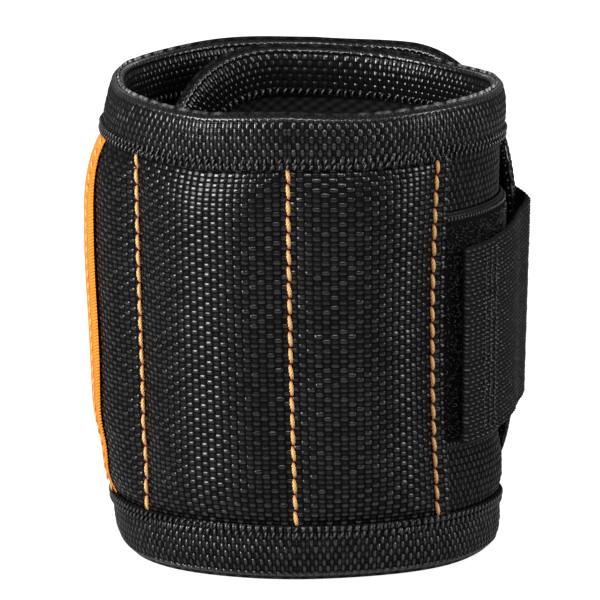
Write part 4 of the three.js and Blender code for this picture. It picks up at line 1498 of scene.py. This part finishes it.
def strap_layer(run, across, depth):
    angle, height = strap_point(run, across)
    lift = strap_lift(angle) + STRAP_CLOTH
    row = np.floor(across / RIB)
    rib = np.abs(np.cos(math.pi * (across / RIB)))
    place_in_row = run / FLOAT + STAGGER * np.sin(STAGGER_TURN * row ** 2)
    floats = 0.5 + 0.5 * np.cos(FULL_TURN * place_in_row)
    floats = floats * (1 - STRAP_UNEVEN * chance(np.round(place_in_row), row))
    woven = FLOAT_LOW + (1 - FLOAT_LOW) * floats if depth == 0 else BACK_RELIEF
    relief = (1 - rib ** 2) ** RIB_ROUND * woven
    turned = TIP_RISE * (1 - ease(run, TURNED_TIP - STRAP_EDGE, TURNED_TIP))
    edge = np.minimum(run, STRAP_WIDTH / 2 - np.abs(across))
    rounded = STRAP_EDGE_DROP * (1 - ease(edge, 0, STRAP_EDGE)) ** 2
    yarn = RIB_DEPTH * (relief - RIB_LEVEL) if depth == 0 else 0
    station = station_at(angle)
    drawn_in = STRAP_TAPER * (0.5 - across / STRAP_WIDTH)
    lift = lift + strap_climbed(angle) * (end_puff(station_at(angle + FULL_TURN)) - drawn_in)
    top = yarn + turned - rounded if depth == 0 else 0
    return station - row_bow(station, height), lift + top - depth, height, relief


along = yarn_steps(0, STRAP_LENGTH + STRAP_ROOT, STRAP_STEPS[0])
across = yarn_steps(-STRAP_WIDTH / 2, STRAP_WIDTH / 2, STRAP_STEPS[1])
strap = cloth_piece("closing_strap", strap_layer, along, across, STRAP_CLOTH, 2, inside_out=True)
dress(strap, WEBBING)
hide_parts("strap_webbing", "strap_root")


def peel(piece):
    """Works out points either side of where the strap leaves its root, and bakes the piece's place into its
    mesh.
    """
    spots = [strap_layer(STRAP_LENGTH + side * STRAP_REACH, 0.0, 0.0)[:3] for side in (1, -1)]
    root_side, tip_side = (tuple(place(*spot)) for spot in spots)
    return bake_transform(piece)


peel(strap)
print("strap faces:", len(strap.data.polygons))

# %% [markdown]
# Three rows cross the turned tip, and a box of rows holds the root. The same tree sews them with a finer
# black stitch. The rows on the tip are attached to the strap's body, and those on the root stay in place.

# %% Sewn rows of the strap
STRAP_INSET = 2.2 * MM
STRAP_PITCH = 0.95 * MM
BLACK_LEAN = 0.08
BLACK_WANDER = 0.08
ROOT_INSETS = 2.5 * MM, 2 * MM
TIP_ROWS = 4.9 * MM, 6.6 * MM, 8.3 * MM
BLACK_STITCH = stitch_mesh("black_stitch", 0.75 * MM, 0.4 * MM, rings=6, sides=6, plies=2, twist=0)


def strap_line(runs, acrosses):
    """Points on the strap, and the directions away from it."""
    station, lift, height, _ = strap_layer(runs, acrosses, 0)
    outward = place(station, lift + MM, height) - place(station, lift, height)
    return place(station, lift + THREAD_ABOVE, height), outward


half = STRAP_WIDTH / 2 - STRAP_INSET
tip_across = steps(-half, half, LINE_STEP)
tip_lines = [strap_line(np.full_like(tip_across, run), tip_across) for run in TIP_ROWS]
root_runs = steps(STRAP_LENGTH + ROOT_INSETS[0], STRAP_LENGTH + STRAP_ROOT - ROOT_INSETS[1], LINE_STEP)
root_lines = [strap_line(np.full_like(tip_across, run), tip_across) for run in (root_runs[0], root_runs[-1])]
root_lines += [strap_line(root_runs, np.full_like(root_runs, side)) for side in (-half, half)]
sewing = BLACK_STITCH, BLACK_THREAD, STRAP_PITCH, BLACK_LEAN, BLACK_WANDER
tip_row = sewn_row("strap_row_tip", tip_lines, *sewing)
root_row = sewn_row("strap_row_root", root_lines, *sewing)
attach(tip_row, "strap")
peel(root_row)
print("strap rows:", len(tip_row.data.polygons), "and", len(root_row.data.polygons), "faces")

# %% [markdown]
# The loop patch is a woven base with thousands of small loops, and the hook pad a stiff tape with small
# hooks. Hair particles could stand for them, but the export keeps only meshes. So a Geometry Nodes tree
# scatters points over a face and sets a small curved bristle on each, with fixed seeds for its place,
# size and turn.

# %% The tree that scatters bristles
PILE_INPUTS = {"Ground": "Geometry", "Bristle": "Object", "Density": "Float", "Finish": "Material"}
PLACE_SEED, SIZE_SEED, TURN_SEED = 11, 5, 3
SMALLEST, LARGEST = 0.65, 1.2


def pile_tree():
    tree, given = copying_tree("pile", PILE_INPUTS)
    scatter = {"Mesh": given["Ground"], "Density": given["Density"], "Seed": PLACE_SEED}
    spread = tree.node("GeometryNodeDistributePointsOnFaces", {"distribute_method": "RANDOM"}, scatter)
    shape = tree.node("GeometryNodeObjectInfo", None, {"Object": given["Bristle"]})["Geometry"]
    size = random_value(tree, SMALLEST, LARGEST, SIZE_SEED)
    copying = {"Points": spread["Points"], "Instance": shape, "Rotation": spread["Rotation"], "Scale": size}
    bristles = tree.node("GeometryNodeInstanceOnPoints", None, copying)["Instances"]
    angle = random_value(tree, 0.0, FULL_TURN, TURN_SEED)
    return turn_and_finish(tree, bristles, angle, given["Finish"])


PILE_TREE = pile_tree()
print("pile tree:", len(PILE_TREE.nodes), "nodes")


# %% Loops and hooks
# painted shade: with this low relief the finish colours the strands darker towards their roots
SHADED_ROOT_RELIEF = 0.2  # strands are darker at their roots


def bristle_mesh(name, height, width, thickness, sweep):
    """A three-sided curved strand: a loop for a sweep of half a turn, a hook for less."""
    rings, sides = 6, 3
    sideways = np.array([0, 1, 0])
    bow = np.linspace(0, sweep, rings)
    around = np.linspace(0, FULL_TURN, sides, endpoint=False)
    points, relief = [], []
    for angle in bow:
        out = np.array([-math.cos(angle), 0, math.sin(angle)])
        centre = np.array([-math.cos(angle) * width / 2, 0, math.sin(angle) * height])
        ring = np.array([math.cos(a) * out + math.sin(a) * sideways for a in around])
        points.append(centre + thickness / 2 * ring)
        relief += sides * [SHADED_ROOT_RELIEF + (1 - SHADED_ROOT_RELIEF) * math.sin(angle)]
    faces = grid_faces(rings, sides, 0).tolist()
    faces += [[k * sides + 2, k * sides, (k + 1) * sides, (k + 1) * sides + 2] for k in range(rings - 1)]
    faces += [[2, 1, 0], [(rings - 1) * sides + k for k in range(sides)]]
    return finish_mesh(name, np.concatenate(points), faces, relief=np.array(relief))


LOOP = bristle_mesh("loop", height=0.55 * MM, width=0.5 * MM, thickness=0.11 * MM, sweep=math.pi)
HOOK = bristle_mesh("hook", height=0.75 * MM, width=0.45 * MM, thickness=0.16 * MM, sweep=0.72 * math.pi)


def piled(name, layer, us, vs, bristle, density, finish):
    """A face of a layer covered with bristles."""
    points = surface(layer, us, vs, 0)[0]
    ground = finish_mesh(name, points, grid_faces(len(us), len(vs), 0).tolist())
    return run_tree(ground, PILE_TREE, {"Bristle": bristle, "Density": density, "Finish": finish})


print("faces of a loop and of a hook:", len(LOOP.data.polygons), len(HOOK.data.polygons))

# %% [markdown]
# The patch comes out from under the panel's hem. Along its upper and lower edge it is plain cloth, sewn
# down with upright stitches, and the loops stand between. The hook pad lies under the free end of the
# strap, so it follows the strap's own path, and it is attached to the strap's body.

# %% Loop patch
LOOP_WIDTH = 46 * MM
LOOP_MIDDLE = 46 * MM
PATCH_CLEAR = 0.4 * MM, 0.3 * MM  # from the tongue's fold and from the hem
PATCH_START = TONGUE_FOLD + PATCH_CLEAR[0]
PATCH_STOP = PANEL_START - PATCH_CLEAR[1]
PATCH_STEP = 0.8 * MM
PATCH_YARN = 0.7 * MM
PATCH_DEPTH = 0.16 * MM
SELVEDGE = 2.2 * MM  # the patch has no loops along its upper and lower edge
LOOPS_PER_AREA = 1.5 / MM ** 2
PATCH_INSET = 1.2 * MM
PATCH_LEAN = 1.4  # upright stitches hold the patch down
PATCH_WANDER = 0.2
PATCH_CLOTH = 0.6 * MM
LOOP_ROOM = 0.3 * MM  # the loops fill this much below the closure's face
PATCH_EDGE = 1.6 * MM
PATCH_EDGE_DROP = 0.55 * MM
PATCH_UNEVEN = 0.12 * MM
PATCH_WAVES = 3.1 * MM, 3.7 * MM
PATCH_LEVEL = 0.5  # relief at which its yarns neither add nor take height
# painted shade: the ground among the loops gets a low relief, so the finish colours it dark as if shaded by
# the loops
SHADED_GROUND_RELIEF = 0.15
SELVEDGE_RELIEF = 0.05, 0.6  # what the selvedge adds: everywhere, and on its yarns
LOOP_MARGIN = 0.8 * SELVEDGE


def patch_layer(station, height, depth):
    edge = np.minimum(LOOP_WIDTH / 2 - np.abs(height - LOOP_MIDDLE), PATCH_STOP - station)
    rounded = PATCH_EDGE_DROP * (1 - ease(edge, 0, PATCH_EDGE)) ** 2
    uneven = PATCH_UNEVEN * np.sin(station / PATCH_WAVES[0]) * np.sin(height / PATCH_WAVES[1])
    selvedge = ease(np.abs(height - LOOP_MIDDLE), LOOP_WIDTH / 2 - SELVEDGE, LOOP_WIDTH / 2 - SELVEDGE / 2)
    weave = plain_weave(station, height, PATCH_YARN, PATCH_YARN)
    face = LOOP_FACE - LOOP_ROOM - depth
    if depth == 0:
        face = face - rounded + uneven + PATCH_DEPTH * selvedge * (weave - PATCH_LEVEL)
    woven = SELVEDGE_RELIEF[0] + SELVEDGE_RELIEF[1] * weave
    return station, face, height, SHADED_GROUND_RELIEF + selvedge * woven


along = steps(PATCH_START, PATCH_STOP, PATCH_STEP)
up = steps(LOOP_MIDDLE - LOOP_WIDTH / 2, LOOP_MIDDLE + LOOP_WIDTH / 2, PATCH_STEP)
closure_length = next(length for length in LENGTHS if length.fold == "right_fold")
fine_along = yarn_steps(PATCH_START, PATCH_STOP, PATCH_YARN / 4)
fine_up = yarn_steps(up[0], up[-1], PATCH_YARN / 3)
patch = cloth_piece("loop_patch_base", patch_layer, fine_along, fine_up, PATCH_CLOTH)
dress(patch, PILE_GROUND)
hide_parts("loop_patch")
with_loops = up[np.abs(up - LOOP_MIDDLE) < LOOP_WIDTH / 2 - LOOP_MARGIN]
pile = piled("loop_patch_pile", patch_layer, along, with_loops, LOOP, LOOPS_PER_AREA, PILE)
heights = [LOOP_MIDDLE + side * (LOOP_WIDTH / 2 - PATCH_INSET) for side in (-1, 1)]
lines = [outward_line(patch_layer, along, np.full_like(along, height), THREAD_ABOVE) for height in heights]
patch_row = sewn_row("patch_row", lines, BLACK_STITCH, BLACK_THREAD, STRAP_PITCH, PATCH_LEAN, PATCH_WANDER)
for piece in (patch, pile, patch_row):
    bend(piece, closure_length)
print("pile:", len(pile.data.polygons), "faces")

# %% Hook pad
HOOKS_PER_AREA = 0.8 / MM ** 2
HOOK_INSET = 1.5 * MM
HOOK_LENGTH = 19 * MM
HOOK_TAPE = 0.6 * MM
HOOK_GAP = 0.15 * MM
HOOK_RELIEF = 0.5


def hook_layer(run, across, depth):
    station, lift, height, _ = strap_layer(run, across, STRAP_CLOTH)
    return station, lift - HOOK_GAP - HOOK_TAPE + depth, height, HOOK_RELIEF + 0 * station


along = steps(HOOK_INSET, HOOK_INSET + HOOK_LENGTH, PATCH_STEP)
across = steps(HOOK_INSET - STRAP_WIDTH / 2, STRAP_WIDTH / 2 - HOOK_INSET, PATCH_STEP)
hook_base = dress(cloth_piece("hook_pad_base", hook_layer, along, across, HOOK_TAPE), HOOKS)
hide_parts("hook_pad")
hooks = piled("hook_pad_hooks", hook_layer, along, across, HOOK, HOOKS_PER_AREA, HOOKS)
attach(hook_base, "strap")
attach(hooks, "strap")
for template in (ORANGE_STITCH, SLANT_STITCH, STRIP_STITCH, BLACK_STITCH, LOOP, HOOK):
    bpy.data.objects.remove(template)
print("hooks:", len(hooks.data.polygons), "faces")

# %% [markdown]
# ## Studio
# The photo is a product shot on white. A strong soft box stands on the left, a weaker one on the right,
# one above the front, and one behind lights the inside and the back. A bright white room would turn black
# cloth grey, so floor and world are white to the camera alone, by the Light Path node, and shiny yarns
# mirror only a small share of them. The floor keeps the soft shadow.

# %% White floor
FLOOR_HALF = 3.0
FLOOR_GREY = 0.4
FLOOR_GLOW = 0.88
MIRRORED = 0.15  # how much of the white room shiny faces mirror


def seen_white(tree):
    """1 for what the camera sees straight, and a share of that in mirrors and glass."""
    path = tree.node("ShaderNodeLightPath")
    return path["Is Camera Ray"] + MIRRORED * (path["Is Glossy Ray"] + path["Is Transmission Ray"])


def floor_finish():
    finish = Finish("white floor", Roughness=0.9, Specular_IOR_Level=0.1)
    finish.shader.inputs["Base Color"].default_value = (FLOOR_GREY, FLOOR_GREY, FLOOR_GREY, 1)
    glow = finish.blend(seen_white(finish), (0, 0, 0), (FLOOR_GLOW, FLOOR_GLOW, FLOOR_GLOW))
    finish.drive("Emission Color", glow)
    finish.shader.inputs["Emission Strength"].default_value = 1.0
    return finish.material


corners = [(FLOOR_HALF * x, FLOOR_HALF * y, 0) for x, y in ((-1, -1), (1, -1), (1, 1), (-1, 1))]
floor = finish_mesh("floor", corners, [[0, 1, 2, 3]])
floor.data.materials.append(floor_finish())
print("floor:", 2 * FLOOR_HALF, "m wide")

# %% Soft boxes
# degrees round from the front, degrees up, then distance, width and height in metres, and power in watts
LAMPS = {
    "left box": (-56, 24, 0.7, 0.32, 0.5, 7.6),
    "right box": (74, 22, 0.7, 0.26, 0.5, 2.9),
    "top box": (8, 52, 0.8, 0.5, 0.2, 3.3),
    "rear box": (180, 36, 0.9, 0.8, 0.6, 4.5),
}


def soft_box(name, azimuth, elevation, distance, width, height, power):
    """A rectangular lamp that faces the band's middle."""
    lamp = bpy.data.lights.new(name, "AREA")
    lamp.shape = "RECTANGLE"
    lamp.size, lamp.size_y, lamp.energy = width, height, power
    box = linked(name, lamp)
    a, e = math.radians(azimuth), math.radians(elevation)
    back = np.array([math.sin(a) * math.cos(e), -math.cos(a) * math.cos(e), math.sin(e)])
    box.location = distance * back + np.array([0, 0, BAND_HEIGHT / 2])
    box.rotation_euler = (math.pi / 2 - e, 0, a)


for name, measures in LAMPS.items():
    soft_box(name, *measures)
print("lamps:", list(LAMPS))

# %% White world
WORLD_LIGHT = 0.06

world = bpy.data.worlds.new("studio")
world.use_nodes = True
strength = WORLD_LIGHT + seen_white(Tree(world.node_tree))
background = world.node_tree.nodes["Background"]
background.inputs["Color"].default_value = (1, 1, 1, 1)
world.node_tree.links.new(strength.socket, background.inputs["Strength"])
SCENE.world = world
SCENE.view_settings.view_transform = "Standard"
print("world light:", WORLD_LIGHT)

# %% [markdown]
# ## Camera
# Upright edges stay upright and the far rim is hardly smaller than the near one, so the photo was taken
# with a long lens from far off and a little above. The lens is worked out from how many pixels a metre
# takes up in the picture.

# %% Camera
PICTURE_PIXELS = 600
PIXELS_PER_METRE = 5235
CAMERA_ELEVATION = math.radians(10.86)
CAMERA_DISTANCE = 4.0
AIM = np.array([-1.2 * MM, 0, 46.7 * MM])

camera_data = bpy.data.cameras.new("camera")
camera_data.lens = camera_data.sensor_width * CAMERA_DISTANCE * PIXELS_PER_METRE / PICTURE_PIXELS
camera = linked("camera", camera_data)
backwards = np.array([0, -math.cos(CAMERA_ELEVATION), math.sin(CAMERA_ELEVATION)])
camera.location = AIM + CAMERA_DISTANCE * backwards
camera.rotation_euler = (math.pi / 2 - CAMERA_ELEVATION, 0, 0)
SCENE.camera = camera
print(f"camera: {camera_data.lens:.0f} mm lens, {CAMERA_DISTANCE} m away")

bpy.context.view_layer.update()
seen = [o for o in SCENE.objects if o.type == "MESH" and not o.hide_render]
print("triangles:", sum(len(p.vertices) - 2 for o in seen for p in o.data.polygons))
